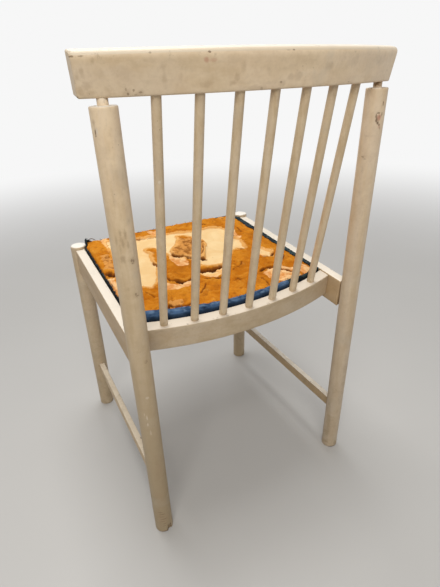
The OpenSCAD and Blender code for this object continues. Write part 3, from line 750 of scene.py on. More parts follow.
def board(name, node, size, radii, steps, end_r, place, material, per_side):
    """A board with rounded edges and ends. place(a, b, q, back) gives a point: a and b lie
    across the board, q runs from -1 to 1 along it and back is a distance in from its ends."""
    turns = [math.pi / 2 * j / END_TURNS for j in range(END_TURNS + 1)]
    ends = [(end_r * (1 - math.sin(a)), end_r * (1 - math.cos(a))) for a in turns]
    rows = [(-1, back, inset) for back, inset in reversed(ends)]
    rows += [(-1 + 2 * i / steps, 0, 0) for i in range(1, steps)]
    rows += [(1, back, inset) for back, inset in ends]
    made, rims = [], []
    for q, back, inset in rows:
        section, rim = rounded_section(size[0] / 2, size[1] / 2, radii, inset, per_side)
        made.append([place(a, b, q, back) for a, b in section])
        rims += [1.0] * len(rim) if inset > 0 else rim
    tube(name, made, material, rims, node)


TURNED_SIDES = 56


def turned(name, node, foot, head, body, material, wear=None):
    """A round leg about an axis, from (height, radius, rim) rows."""
    rows, rims = [], []
    for height, radius, rim in body:
        centre = foot.lerp(head, height / head.z)
        row = []
        for k in range(TURNED_SIDES):
            a = math.tau * k / TURNED_SIDES
            r = radius - (wear(centre.z, a) if wear else 0)
            row.append(centre + Vector((r * math.sin(a), r * math.cos(a), 0)))
        rows.append(row)
        rims += [rim] * TURNED_SIDES
    tube(name, rows, material, rims, node)


# ---------------------------------------------------------------- crest board and rails
CREST_ROUND = 7.5 * MM
CREST_EDGE = 2.4 * MM
RAIL_EDGE = 1.8 * MM
RAIL_END = 0.6 * MM
END_EASE = 0.2
GLUE_GAP = 0.1 * MM
LEG_OUT = 1 * MM
FRONT_RAIL_TOP = BOARD_TOP - BOARD_T - 1.4 * MM


def crest_place(a, b, q, back):
    t, h = a + CREST_T / 2, b + CREST_H / 2
    radius = CREST_HEEL_R + h * math.sin(CREST_RAKE) - t * math.cos(CREST_RAKE)
    z = CREST_HEEL_Z + h * math.cos(CREST_RAKE) + t * math.sin(CREST_RAKE)
    end = (CREST_FOOT_W + (CREST_TOP_W - CREST_FOOT_W) * h / CREST_H) / 2
    x = q * (end - back)
    wave = 0.25 * MM * noise.noise(Vector((x * 22, z * 30, 3)))
    return Vector((x, CREST_C + math.sqrt(radius ** 2 - x ** 2) + wave, z))


def rear_rail_place(a, b, q, back):
    radius = REAR_RAIL_R - REAR_RAIL_T / 2 - a
    x = q * (RAIL_IN - GLUE_GAP - back)
    return seat(x, REAR_RAIL_C + math.sqrt(radius ** 2 - x ** 2),
                b - REAR_RAIL_DROP - REAR_RAIL_H / 2)


def to_leg(across):
    """How far a round leg's surface is from its axis at a distance to one side of it."""
    return math.sqrt(max(LEG_R ** 2 - across ** 2, 0)) + GLUE_GAP


def side_rail_place(side):
    def place(a, b, q, back):
        x = RAIL_X + a
        cope = to_leg(x - RAIL_X - LEG_OUT)
        start, end = FRONT_LEG_V + cope, REAR_LEG_V - cope
        v = (start + end) / 2 + q * ((end - start) / 2 - back * END_EASE)
        return seat(side * x, v, b - SIDE_RAIL_H / 2)
    return place


def front_rail_place(a, b, q, back):
    x = q * (RAIL_X - to_leg(a) - back * END_EASE)
    return seat(x, FRONT_LEG_V + a, b + (FRONT_RAIL_TOP - SIDE_RAIL_H) / 2)


def stretcher_place(side):
    rear = on_leg(REAR_FOOT, REAR_TOP, STRETCHER_REAR)
    front = on_leg(FRONT_FOOT, FRONT_TOP, STRETCHER_FRONT)
    slope = (STRETCHER_REAR - STRETCHER_FRONT) / (rear.y - front.y)

    def place(a, b, q, back):
        start, end = front.y + to_leg(a), rear.y - to_leg(a)
        y = (start + end) / 2 + q * ((end - start) / 2 - back * END_EASE)
        z = STRETCHER_REAR + (y - rear.y) * slope + b - STRETCHER_H / 2
        return Vector((side * (RAIL_X + a), y, z))
    return place


def make_boards():
    edges = (RAIL_EDGE,) * 4
    board("crest_board", "crest_rail", (CREST_T, CREST_H),
          (CREST_EDGE, CREST_ROUND, CREST_EDGE, CREST_EDGE), 110, CREST_EDGE, crest_place,
          CREST_PAINT, (8, 14))
    board("bowed_rear_rail", "rear_rail", (REAR_RAIL_T, REAR_RAIL_H), edges, 90, RAIL_END,
          rear_rail_place, CROSS_PAINT, (6, 10))
    board("front_seat_rail", "front_rail", (FRONT_RAIL_T, SIDE_RAIL_H + FRONT_RAIL_TOP), edges,
          60, RAIL_END, front_rail_place, CROSS_PAINT, (6, 6))
    for side, word, bar_paint in ((1, "left", LEFT_BAR_PAINT), (-1, "right", RIGHT_BAR_PAINT)):
        board(f"{word}_seat_rail", f"side_rail_{word}", (SIDE_RAIL_T, SIDE_RAIL_H), edges, 70,
              RAIL_END, side_rail_place(side), RAIL_PAINT, (6, 12))
        board(f"{word}_stretcher_bar", f"side_stretcher_{word}", (STRETCHER_T, STRETCHER_H),
              edges, 60, RAIL_END, stretcher_place(side), bar_paint, (4, 8))


make_boards()


# ---------------------------------------------------------------- legs and posts
def dent(height, turn, at_z, at_turn, wide, high, deep):
    """Depth of one broken spot on a round piece."""
    across = LEG_R * math.radians((turn - at_turn + 180) % 360 - 180) / wide
    up = (height - at_z) / high
    far = math.hypot(across, up) + 0.45 * noise.noise(Vector((height * 900, turn * 0.4, 5)))
    return deep * max(0.0, 1 - far) ** 0.6 if far < 1 else 0.0


LEFT_POST_DENTS = ((722, 70, 2.2, 9, 0.7), (598, 20, 2, 3.5, 0.4), (564, -20, 2.4, 2.6, 0.5),
                   (9, -20, 3.2, 11, 3.6), (4, -22, 5.5, 6, 4.2))
RIGHT_POST_DENTS = ((708, 24, 3.6, 6, 0.9), (728, 2, 1.8, 3.6, 0.5), (700, 12, 3, 3, 0.6))


def mirrored(side, point):
    return Vector((side * point.x, point.y, point.z))


def foot_rows():
    """The eased edge at the foot of each leg."""
    return [(0, LEG_R - FOOT_ROUND, 1), (FOOT_ROUND / 3, LEG_R - FOOT_ROUND / 3, 1),
            (FOOT_ROUND, LEG_R, 1)]


def make_post(side, word, material, dents):
    def wear(z, a):
        turn = math.degrees(a)
        depth = 0.12 * MM * noise.noise(Vector((math.sin(a) * 2, math.cos(a) * 2, z * 30)))
        for at_z, at_turn, wide, high, deep in dents:
            depth += dent(z, turn, at_z * MM, at_turn, wide * MM, high * MM, deep * MM)
        return depth

    top = mirrored(side, REAR_TOP)
    body = foot_rows()
    body += [(z * MM, LEG_R, 0) for z in (*range(3, 40, 2), *range(42, 690, 6),
                                          *range(692, 746, 2))]
    body += [(top.z + up * MM, radius, rim) for up, radius, rim in (
        (-1.6, LEG_R, 1), (-0.8, LEG_R - 0.4 * MM, 1), (-0.1, LEG_R - 1.4 * MM, 1),
        (0, LEG_R - 2.2 * MM, 0.5), (0, POST_TENON_R + 0.6 * MM, 0), (0.4, POST_TENON_R, 0),
        (9.5, POST_TENON_R, 0))]
    turned(f"{word}_back_post", f"rear_leg_{word}", mirrored(side, REAR_FOOT), top, body,
           material, wear)


def make_front_leg(side, word):
    top = mirrored(side, FRONT_TOP)
    flat = LEG_R - LEG_TOP_R
    shoulder = top.z - LEG_TOP_R - LEG_DOME
    body = foot_rows()
    body += [(z * MM, LEG_R, 0) for z in range(6, 447, 8)]
    body += [(shoulder + LEG_TOP_R * math.sin(a), flat + LEG_TOP_R * math.cos(a), 0.7)
             for a in (math.pi / 2 * k / 5 for k in range(6))]
    body += [(top.z - 0.7 * MM, flat * 0.75, 0), (top.z - 0.3 * MM, flat * 0.45, 0),
             (top.z, flat * 0.15, 0)]
    turned(f"{word}_front_leg", f"front_leg_{word}", mirrored(side, FRONT_FOOT), top, body,
           FRONT_PAINT)


make_post(1, "left", LEFT_POST_PAINT, LEFT_POST_DENTS)
make_post(-1, "right", RIGHT_POST_PAINT, RIGHT_POST_DENTS)
make_front_leg(1, "left")
make_front_leg(-1, "right")


# ---------------------------------------------------------------- spindles
def spindle_tree():
    """A slightly barrelled round bar between two points."""
    t = Shaper("turned spindle", Foot="Vector", Head="Vector", FootRadius="Float",
               MiddleRadius="Float", HeadRadius="Float", Rings="Int", Sides="Int")
    line = t.add("GeometryNodeCurvePrimitiveLine", None,
                 {0: t.input("Foot"), 1: t.input("Head")})
    line = t.add("GeometryNodeResampleCurve", None, {0: line, "Count": t.input("Rings")})
    share = t.add("GeometryNodeSplineParameter")
    straight = t.input("FootRadius") * (1 - share) + t.input("HeadRadius") * share
    belly = t.input("MiddleRadius") - (t.input("FootRadius") + t.input("HeadRadius")) / 2
    radius = straight + belly * t.maths("SINE", share * math.pi)
    ring = t.add("GeometryNodeCurvePrimitiveCircle", None,
                 {"Resolution": t.input("Sides"), "Radius": 1.0})
    bar = t.add("GeometryNodeCurveToMesh", None,
                {"Curve": line, "Profile Curve": ring, "Scale": radius, "Fill Caps": True})
    t.end(bar, SPINDLE_PAINT)
    return t


SPINDLE_SUNK = 0.8 * MM


def make_spindles():
    tree = spindle_tree()
    for i in range(SPINDLE_COUNT):
        foot, head = spindle_foot(i), spindle_head(i)
        sunk = (head - foot).normalized() * SPINDLE_SUNK
        piece = tree.make(f"back_spindle_{i + 1}", "frame_paint", Foot=foot - sunk,
                          Head=head + sunk, FootRadius=SPINDLE_FOOT_R,
                          MiddleRadius=SPINDLE_MID_R, HeadRadius=SPINDLE_HEAD_R,
                          Rings=60, Sides=32)
        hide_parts(f"spindle_{i + 1}")


make_spindles()


# ---------------------------------------------------------------- seat: outline
def rear_edge(x, margin):
    """Where the covered seat ends at the back, drawn in by a margin."""
    radius = REAR_RAIL_R - REAR_RAIL_T - SEAT_REAR_GAP - margin
    return REAR_RAIL_C + math.sqrt(radius ** 2 - x * x)


def front_edge(x, margin):
    """Where it ends at the front, with the hollows round the front legs."""
    straight = FRONT_LEG_V - FRONT_RAIL_T / 2 + margin
    hollow = LEG_R + SEAT_LEG_GAP + margin
    across = abs(x) - FRONT_TOP.x
    if abs(across) >= hollow:
        return straight
    return max(straight, FRONT_LEG_V + math.sqrt(hollow ** 2 - across ** 2))


def seat_side(margin):
    return RAIL_IN - SEAT_SIDE_GAP - margin


BACK_STEPS = 200
SIDE_STEPS = 160
HOLLOW_STEPS = 16
FRONT_STEPS = 100


def outline(margin, step):
    """Even points round the covered seat, from the back right corner towards +X."""
    side = seat_side(margin)
    xs = [side * (-1 + 2 * k / BACK_STEPS) for k in range(BACK_STEPS + 1)]
    path = [Vector((x, rear_edge(x, margin))) for x in xs]
    path += [Vector((side, v)) for v in np.linspace(rear_edge(side, margin),
                                                    front_edge(side, margin), SIDE_STEPS)[1:]]
    hollow = LEG_R + SEAT_LEG_GAP + margin
    first = math.atan2(front_edge(side, margin) - FRONT_LEG_V, FRONT_TOP.x - side)
    last = math.asin((margin - FRONT_RAIL_T / 2) / hollow)
    for a in np.linspace(first, last, HOLLOW_STEPS)[1:]:
        path.append(Vector((FRONT_TOP.x - hollow * math.cos(a),
                            FRONT_LEG_V + hollow * math.sin(a))))
    half, front = path[-1]
    path += [Vector((x, front)) for x in np.linspace(half, 0, FRONT_STEPS)[1:]]
    path += [Vector((-p.x, p.y)) for p in reversed(path[BACK_STEPS + 1:-1])]
    lengths = [0.0]
    for a, b in zip(path, path[1:] + path[:1]):
        lengths.append(lengths[-1] + (b - a).length)
    closed = path + path[:1]
    count = int(lengths[-1] / step)
    at = np.arange(count) * lengths[-1] / count
    xs = np.interp(at, lengths, [p.x for p in closed])
    vs = np.interp(at, lengths, [p.y for p in closed])
    return xs, vs, at, lengths[-1]


# ---------------------------------------------------------------- seat: crumbled foam
TORN = [  # where the orange crust has broken off, x and v in mm
    [(150, -378), (95, -362), (54, -356), (0, -348), (-43, -342), (-80, -340), (-110, -332),
     (-117, -318), (-112, -296), (-104, -274), (-116, -250), (-113, -232), (-106, -208),
     (-88, -216), (-72, -208), (-62, -203), (-50, -194), (-39, -178), (-26, -166), (-12, -170),
     (6, -177), (20, -184), (42, -198), (60, -204), (84, -236), (98, -205), (109, -179),
     (118, -160), (130, -146), (148, -160), (150, -210), (150, -300)],
    [(30, -154), (22, -140), (6, -136), (-8, -140), (-4, -148), (14, -150)],
    [(-118, -186), (-134, -190), (-146, -168), (-134, -152), (-122, -160)],
]
ISLANDS = [  # crust left standing inside them
    [(92, -302), (80, -306), (66, -298), (58, -286), (54, -268), (47, -250), (36, -236),
     (22, -222), (8, -208), (12, -190), (8, -178), (20, -168), (34, -162), (52, -142),
     (78, -140), (93, -156), (90, -184), (92, -212), (94, -236), (90, -270)],
    [(2, -338), (-18, -330), (-34, -306), (-44, -290), (-44, -266), (-34, -248), (-22, -230),
     (-8, -204), (10, -212), (28, -228), (48, -246), (44, -268), (28, -286), (14, -304),
     (6, -322)],
]
PEACH = [
    [(-116, -196), (-134, -194), (-148, -172), (-136, -150), (-118, -150), (-112, -170)],
    [(-76, -94), (-96, -100), (-126, -104), (-146, -88), (-146, -56), (-100, -44), (-80, -60)],
    [(204, -222), (184, -214), (180, -178), (186, -150), (204, -150)],
    [(34, -156), (28, -134), (8, -124), (-10, -128), (-24, -142), (-18, -152), (12, -152)],
    [(160, -398), (146, -398), (144, -346), (156, -340)],
    [(114, -144), (88, -136), (60, -138), (46, -130), (60, -118), (92, -114), (112, -124)],
    [(-150, -92), (-174, -96), (-178, -72), (-154, -62)],
    [(50, -388), (26, -384), (24, -360), (46, -356)],
    [(54, -242), (36, -230), (28, -206), (38, -190), (54, -198), (60, -226)],
    [(22, -202), (6, -204), (8, -182), (24, -180)],
    [(-116, -330), (-128, -318), (-130, -262), (-118, -250), (-110, -290)],
]
SCORCHED = [
    [(4, -326), (-26, -300), (-44, -286), (-44, -262), (-8, -198), (20, -214), (52, -246),
     (42, -274), (14, -300)],
    [(182, -312), (162, -312), (160, -252), (172, -236), (186, -250)],
    [(-138, -404), (-156, -404), (-156, -380), (-138, -378)],
    [(-112, -300), (-124, -300), (-120, -250), (-108, -244)],
    [(124, -84), (98, -84), (96, -62), (124, -60)],
]
RUFFLED = [(170, -290, 26), (128, -95, 26), (46, -95, 16), (-150, -280, 22), (-60, -70, 18),
           (-160, -150, 20)]
CRACKS = [  # width, depth, then the way it runs
    (11.0, 7.5, [(47, -248), (38, -238), (28, -229)]),
    (7.6, 6.5, [(28, -228), (20, -218), (8, -209), (-9, -203)]),
    (4.5, 4.6, [(94, -236), (90, -222), (92, -196), (86, -176)]),
    (6.0, 6.0, [(94, -168), (90, -154), (60, -136), (48, -140)]),
    (15.0, 9.0, [(87, -150), (80, -146), (73, -140)]),
    (14.0, 9.0, [(22, -160), (10, -157), (0, -154), (-18, -157)]),
    (4.5, 4.5, [(28, -172), (20, -160)]),
    (6.4, 5.4, [(30, -126), (18, -123), (8, -118), (-4, -116), (-14, -120)]),
    (3.6, 3.2, [(37, -110), (46, -98), (54, -90), (64, -82)]),
    (6.0, 5.6, [(134, -70), (118, -64), (98, -60), (84, -64)]),
    (3.4, 3.2, [(-34, -134), (-50, -140), (-60, -146), (-68, -156)]),
    (7.0, 5.6, [(-80, -104), (-94, -111), (-110, -107)]),
    (12.0, 7.5, [(-118, -96), (-127, -90), (-133, -80)]),
    (6.4, 5.0, [(-120, -151), (-134, -150), (-146, -158)]),
    (11.0, 7.0, [(186, -236), (181, -226), (176, -220)]),
    (3.0, 2.4, [(150, -364), (92, -361), (40, -353)]),
    (3.4, 3.0, [(-30, -348), (-66, -350), (-92, -344), (-116, -342)]),
    (9.0, 6.0, [(-80, -371), (-89, -365)]),
    (3.0, 2.6, [(-64, -80), (-68, -66), (-64, -52)]),
    (3.2, 3.0, [(148, -134), (140, -112), (130, -104)]),
    (3.0, 2.8, [(-12, -226), (-24, -240), (-32, -262)]),
    (3.4, 3.2, [(-60, -202), (-78, -214), (-92, -210), (-108, -204)]),
    (2.6, 2.2, [(-20, -100), (-36, -92), (-48, -96)]),
    (3.4, 3.0, [(-118, -330), (-124, -302), (-116, -276), (-124, -244)]),
    (3.4, 3.2, [(-134, -124), (-150, -128), (-162, -142)]),
    (5.0, 3.6, [(-140, -330), (-150, -312), (-146, -290)]),
]


def from_line(line, x, v):
    """Distance from a crooked line, growing past its ends."""
    stretches = []
    for (ax, av), (bx, bv) in zip(line, line[1:]):
        ex, ev = bx - ax, bv - av
        t = np.clip(((x - ax) * ex + (v - av) * ev) / (ex * ex + ev * ev), 0, 1)
        stretches.append(np.hypot(x - ax - t * ex, v - av - t * ev))
    return np.min(stretches, axis=0)


def inside(shape, x, v):
    """Distance in from a shape's edge, negative outside it."""
    closed = [*shape, shape[0]]
    within = np.zeros(x.shape, bool)
    for (ax, av), (bx, bv) in zip(closed, closed[1:]):
        if av != bv:
            crossing = (av > v) != (bv > v)
            within ^= crossing & (x < ax + (v - av) * (bx - ax) / (bv - av))
    far = from_line(closed, x, v)
    return np.where(within, far, -far)


def in_any(shapes, x, v):
    return np.max([inside(shape, x, v) for shape in shapes], axis=0)


def lumpy(x, v, size, seed):
    """Smooth random heights from -1 to 1 over the seat, with lumps of one size in mm."""
    flat = [noise.noise(Vector((a / size, b / size, seed))) for a, b in zip(x.flat, v.flat)]
    return np.array(flat).reshape(x.shape)


def smooth_step(value, low, high):
    t = np.clip((value - low) / (high - low), 0, 1)
    return t * t * (3 - 2 * t)


def nearest_side(x, v):
    """Distances in mm from the pad's left, right, back and front edges."""
    side = seat_side(0) / MM
    back = np.vectorize(lambda a: rear_edge(a * MM, 0) / MM)(np.clip(x, -side, side))
    return side - x, side + x, back - v, v - (FRONT_LEG_V - FRONT_RAIL_T / 2) / MM


def cover_reach(x, v):
    """How far the torn cover still laps over the pad's top edge, in mm."""
    left, right, back, front = nearest_side(x, v)
    ragged = 0.6 * lumpy(x, v, 9, 11.0) + 0.4 * lumpy(x, v, 3.5, 12.0)
    on_left = 0.9 + 1.4 * ragged
    on_right = 12.0 + 6.0 * ragged + 3.0 * smooth_step(v, -280, -320)
    on_back = 7.2 + 0.048 * np.clip(x - 40, 0, 120) + 0.03 * np.clip(x + 60, -90, 0) + 2.6 * ragged
    reach = np.where(left < right, on_left, on_right)
    reach = np.where(back < np.minimum(left, right), on_back, reach)
    reach = np.where(front < np.minimum(np.minimum(left, right), back), 1.0 + 1.5 * ragged, reach)
    return np.maximum(reach, 0)


EDGE_FALL = 7.0  # mm, like the other sizes of the pad's top
EDGE_ROUND = 13
SLUMP_REACH = (-10, 55)
SLUMP_FROM = (118, 150)
HIGHEST = 11.5


def pad_edge(inward, x):
    """Height in mm of the rounded pad edge at a distance in from its side. It has slumped
    along the right side."""
    fall = 1 - np.clip(inward / EDGE_ROUND, 0, 1)
    full = 1 - np.sqrt(np.clip(1 - fall ** 2, 0, 1))
    slumped = 1 - smooth_step(inward, *SLUMP_REACH)
    share = smooth_step(-x, *SLUMP_FROM)
    return FOAM_RISE / MM - EDGE_FALL * (full + share * np.maximum(slumped - full, 0))


def foam_top(x, v, edge):
    """Height in mm over the side rails, and the foam's torn, halo, peach, scorched and crack
    marks."""
    big, mid = lumpy(x, v, 26, 1.0), lumpy(x, v, 10, 2.0)
    small, fine = lumpy(x, v, 4.6, 3.0), lumpy(x, v, 2.3, 4.0)
    wander = 5.0 * big + 3.4 * mid + 1.8 * small
    bare = np.minimum(in_any(TORN, x, v), -in_any(ISLANDS, x, v)) + wander * 0.62
    torn = smooth_step(bare, -2.2, 1.6)
    halo = smooth_step(bare, -15.0, 1.0)
    peach = smooth_step(in_any(PEACH, x, v) + wander * 0.8, -4, 4)
    scorched = smooth_step(in_any(SCORCHED, x, v) + wander, -3, 6)
    crack, groove = np.zeros(x.shape), np.zeros(x.shape)
    for width, depth, line in CRACKS:
        away = from_line(line, x + 2.2 * mid + 1.2 * small, v + 2.2 * small + 1.6 * mid)
        cut = smooth_step(away, width * 0.66, width * 0.14)
        # Deeper cracks are painted darker: painted shade in the crevices.
        crack = np.maximum(crack, cut * min(1, 0.25 + depth / 9))
        groove = np.maximum(groove, cut * depth)
    crust = 1 - torn
    lip = crust * np.exp(-((bare + 3.2) / 2.6) ** 2)
    lumps = lumpy(x, v, 15, 5.0)
    rough = smooth_step(lumpy(x, v, 34, 15.0), -0.25, 0.25)
    crumb = 1.6 * mid + 2.0 * lumps + rough * (1.1 * small + 0.7 * fine) + 0.35 * small
    height = 1.6 * big + crust * crumb - 3.8 * torn + 1.2 * lip
    height += torn * (0.5 * mid + 0.2 * fine)
    height += scorched * (1.8 + 1.2 * mid + 0.7 * small) - peach * crust * 0.8
    wrinkle = np.sin(v / 1.9 + x / 11 + 3.0 * lumpy(x, v, 16, 7.0))
    ruffled = np.max([np.exp(-((x - at_x) ** 2 + (v - at_v) ** 2) / size ** 2)
                      for at_x, at_v, size in RUFFLED], axis=0)
    height += 0.8 * wrinkle * crust * ruffled
    free = smooth_step(edge - cover_reach(x, v), -1.0, 4.0)
    height = pad_edge(edge, x) + (height - groove) * free - 1.2 * (1 - free)
    return np.minimum(height, HIGHEST), torn, halo, peach, scorched, crack * free


def blurred(field, passes):
    """A field evened out with its neighbours."""
    for _ in range(passes):
        field = np.pad(field, 1, "edge")
        field = (field[:-2] + field[1:-1] + field[2:]) / 3
        field = (field[:, :-2] + field[:, 1:-1] + field[:, 2:]) / 3
    return field


PAD_COLUMNS, PAD_ROWS = 240, 226
COLUMN_EASE, ROW_EASE = 0.03, 0.025
SKIRT_SHARES = (0.35, 0.7, 1.0)
LEVEL_PASSES = 30
STANDS_OUT = 2.6  # mm


def make_foam():
    margin = COVER_T + 0.1 * MM
    side = seat_side(margin)
    us = np.linspace(-1, 1, PAD_COLUMNS)
    xs = side * us * (1 - COLUMN_EASE * (1 - us ** 2))
    grid_x = np.repeat(xs[:, None], PAD_ROWS, 1)
    ts = np.linspace(0, 1, PAD_ROWS)
    ts = ts - ROW_EASE * np.sin(2 * np.pi * ts) / (2 * np.pi)
    front = np.array([front_edge(x, margin) for x in xs])[:, None]
    back = np.array([rear_edge(x, margin) for x in xs])[:, None]
    grid_v = front + (back - front) * ts[None, :]
    x, v = grid_x / MM, grid_v / MM
    edge = np.minimum(np.minimum(side - np.abs(grid_x), back - grid_v), grid_v - front) / MM
    height, *marks = foam_top(x, v, edge)
    # How far each point stands above its neighbours, which the foam's colour turns into painted
    # light on lumps and painted shade in low places.
    raised = np.clip((height - blurred(height, LEVEL_PASSES)) / STANDS_OUT, -1, 1)
    points = [seat(grid_x[i, j], grid_v[i, j], height[i, j] * MM)
              for i in range(PAD_COLUMNS) for j in range(PAD_ROWS)]
    index = np.arange(len(points)).reshape(PAD_COLUMNS, PAD_ROWS)
    faces = [(index[i, j], index[i + 1, j], index[i + 1, j + 1], index[i, j + 1])
             for i in range(PAD_COLUMNS - 1) for j in range(PAD_ROWS - 1)]
    rim = [*index[:-1, 0], *index[-1, :-1], *index[:0:-1, -1], *index[0, :0:-1]]
    rows = [rim]
    for share in SKIRT_SHARES:
        row = []
        for k in rim:
            i, j = divmod(int(k), PAD_ROWS)
            w = height[i, j] * MM
            row.append(len(points))
            points.append(seat(grid_x[i, j], grid_v[i, j], w + (BOARD_TOP - w) * share))
        rows.append(row)
    for upper, lower in zip(rows, rows[1:]):
        for k in range(len(rim)):
            n = (k + 1) % len(rim)
            faces.append((upper[k], lower[k], lower[n], upper[n]))
    faces.append(tuple(reversed(rows[-1])))
    faces = [tuple(int(k) for k in face) for face in faces]
    piece = add_mesh("crumbled_foam_pad", points, faces, FOAM)
    extra = [0.0] * (len(points) - index.size)
    for name, values in zip(("torn", "halo", "peach", "scorched", "crack", "raised"),
                            (*marks, raised)):
        give(piece, name, [*values.flat, *extra])
    point_out(piece)
    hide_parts("foam_pad")
    return piece


foam = make_foam()


# ---------------------------------------------------------------- seat: remains of the cover
COVER_OUT = 0.6 * MM
COVER_UNDER = BOARD_TOP - BOARD_T - 0.7 * MM
COVER_STEP = 2.2 * MM
CLOTH_T = 0.9 * MM
TUFT = (187, -393)
TUFT_AREA = 170  # mm2
BRIM = 8  # the last point of a section before its lap
LAP_STEPS = 8


def cover_section(x, v, reach, along):
    """The cover's way round one place of the pad's edge, as distances out and heights, from
    its hem under the board up the side and over the top."""
    way = [(-hem * MM, COVER_UNDER) for hem in (28, 18, 8, 2.4)]
    way += [(-0.9 * MM, COVER_UNDER + 0.6 * MM), (-COVER_OUT, COVER_UNDER + 3 * MM),
            (-COVER_OUT, BOARD_TOP - 2 * MM), (-COVER_OUT, BOARD_TOP + 5 * MM)]
    tuft = math.exp(-((x - TUFT[0]) ** 2 + (v - TUFT[1]) ** 2) / TUFT_AREA)
    ragged = noise.noise(Vector((along / (5 * MM), 2, 4)))
    slack = min(max((-60 - x) / 130, 0), 1) if v > -100 and abs(x) < 184 else 0
    brim = 1.1 - 2.6 * slack + 0.6 * ragged + tuft * (16 + 5 * ragged)
    way.append((-COVER_OUT, (brim - 1.5) * MM))
    lapped = tuft < 0.25 and reach > 0.8
    for j in range(1, LAP_STEPS + 1):
        q = j / LAP_STEPS
        inward = reach * q ** 1.6 if lapped else 0.3 * q
        w = float(pad_edge(inward, x)) + 0.25 if lapped else brim - 1.5 + 1.5 * q
        way.append((-COVER_OUT - inward * MM - 0.5 * MM * tuft * j * ragged, w * MM))
    return way


def ruck(along, j):
    """How far the lap is rucked up at one point of a section."""
    if j < BRIM:
        return 0
    return (noise.noise(Vector((along / (9 * MM), j * 0.4, 6)))
            + 0.5 * noise.noise(Vector((along / (3.4 * MM), j * 0.7, 8))))


def fold_light(ruck_here, j):
    """How light the cloth is painted at one point of a section: a painted shadow low on the lap,
    where it goes down into the gap at the rail, and a painted highlight on the rucks and the top
    of the lap.
    """
    if j <= BRIM + 1:
        return max(0.0, 0.24 - 0.09 * (BRIM + 1 - j))
    return 0.52 + 0.6 * ruck_here + (0.12 if j > BRIM + 4 else 0)


def make_cover():
    xs, vs, at, length = outline(0, COVER_STEP)
    count = len(xs)
    tx, tv = np.roll(xs, -1) - np.roll(xs, 1), np.roll(vs, -1) - np.roll(vs, 1)
    size = np.hypot(tx, tv)
    nx, nv = -tv / size, tx / size
    reaches = cover_reach(xs / MM, vs / MM)
    reaches = (np.roll(reaches, 1) + reaches * 2 + np.roll(reaches, -1)) / 4
    rows, cuts, folds, sides = [], [], [], []
    for k in range(count):
        x, v = xs[k], vs[k]
        way = cover_section(x / MM, v / MM, float(reaches[k]), at[k])
        row, cut, run = [], [], 0.0
        for j, (out, w) in enumerate(way):
            if j:
                run += math.hypot(out - way[j - 1][0], w - way[j - 1][1])
            rucked = ruck(at[k], j)
            out -= 0.3 * MM * max(rucked, 0)
            w += 0.7 * MM * rucked if j > BRIM else 0
            row.append(seat(x + nx[k] * out, v + nv[k] * out, w))
            cut.append((at[k], run))
            folds.append(fold_light(rucked, j))
            sides.append(0.0 if v / MM > -92 and -104 < x / MM < 186 else 1.0)
        rows.append(row)
        cuts.append(cut)
    deep = len(rows[0])
    points = [p for row in rows for p in row]
    faces, corner_cuts = [], []
    for k in range(count):
        n = (k + 1) % count
        for j in range(deep - 1):
            faces.append((k * deep + j, n * deep + j, n * deep + j + 1, k * deep + j + 1))
            end = length if n == 0 else at[n]
            corner_cuts += [cuts[k][j], (end, cuts[n][j][1]), (end, cuts[n][j + 1][1]),
                            cuts[k][j + 1]]
    piece = add_mesh("torn_seat_cover", points, faces, CLOTH)
    layer = piece.data.uv_layers.new(name="cut")
    layer.data.foreach_set("uv", [c for pair in corner_cuts for c in pair])
    give(piece, "fold_light", folds)
    give(piece, "side", sides)
    solid = piece.modifiers.new("thickness", "SOLIDIFY")
    solid.thickness, solid.offset = CLOTH_T, 0
    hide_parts("seat_cover")
    width = sum(c[-1][1] for c in cuts) / count
    return [row[-1] for row in rows]


torn_edge = make_cover()


# ---------------------------------------------------------------- seat: threads and crumbs
def thread_tree():
    """Short bent threads at the points of a line."""
    t = Shaper("torn threads", Length="Float", Thickness="Float", Bend="Float", Seed="Int")
    reach = t.input("Length")
    half = t.add("ShaderNodeCombineXYZ", None, {"X": t.input("Bend"), "Z": reach * 0.6})
    end = t.add("ShaderNodeCombineXYZ", None, {"X": t.input("Bend") * 0.2, "Z": reach})
    arc = t.add("GeometryNodeCurveQuadraticBezier", None,
                {"Resolution": 5, "Start": (0.0, 0.0, 0.0), "Middle": half, "End": end})
    ring = t.add("GeometryNodeCurvePrimitiveCircle", None,
                 {"Resolution": 4, "Radius": t.input("Thickness")})
    thread = t.add("GeometryNodeCurveToMesh", None,
                   {"Curve": arc, "Profile Curve": ring, "Fill Caps": True})
    turn = t.random((-1.5, -1.5, 0.0), (1.5, 1.5, 6.2), t.input("Seed"))
    size = t.random(0.4, 1.3, t.input("Seed") + 1)
    spots = t.add("GeometryNodeMeshToPoints", None, {0: t.given_shape()})
    placed = t.add("GeometryNodeInstanceOnPoints", None,
                   {"Points": spots, "Instance": thread, "Rotation": turn, "Scale": size})
    t.end(placed, THREAD)
    return t


THREAD_SHARE = 0.5


def make_threads():
    tree = thread_tree()
    chosen = random.Random(11)
    spots = [p for p in torn_edge if chosen.random() < THREAD_SHARE]
    mesh = bpy.data.meshes.new("thread spots")
    mesh.from_pydata([tuple(p) for p in spots], [], [])
    tree.make("torn_cover_threads", "cover_cloth", mesh, Length=4.5 * MM, Thickness=0.22 * MM,
              Bend=1.6 * MM, Seed=3)


SHRED_STEPS = 15


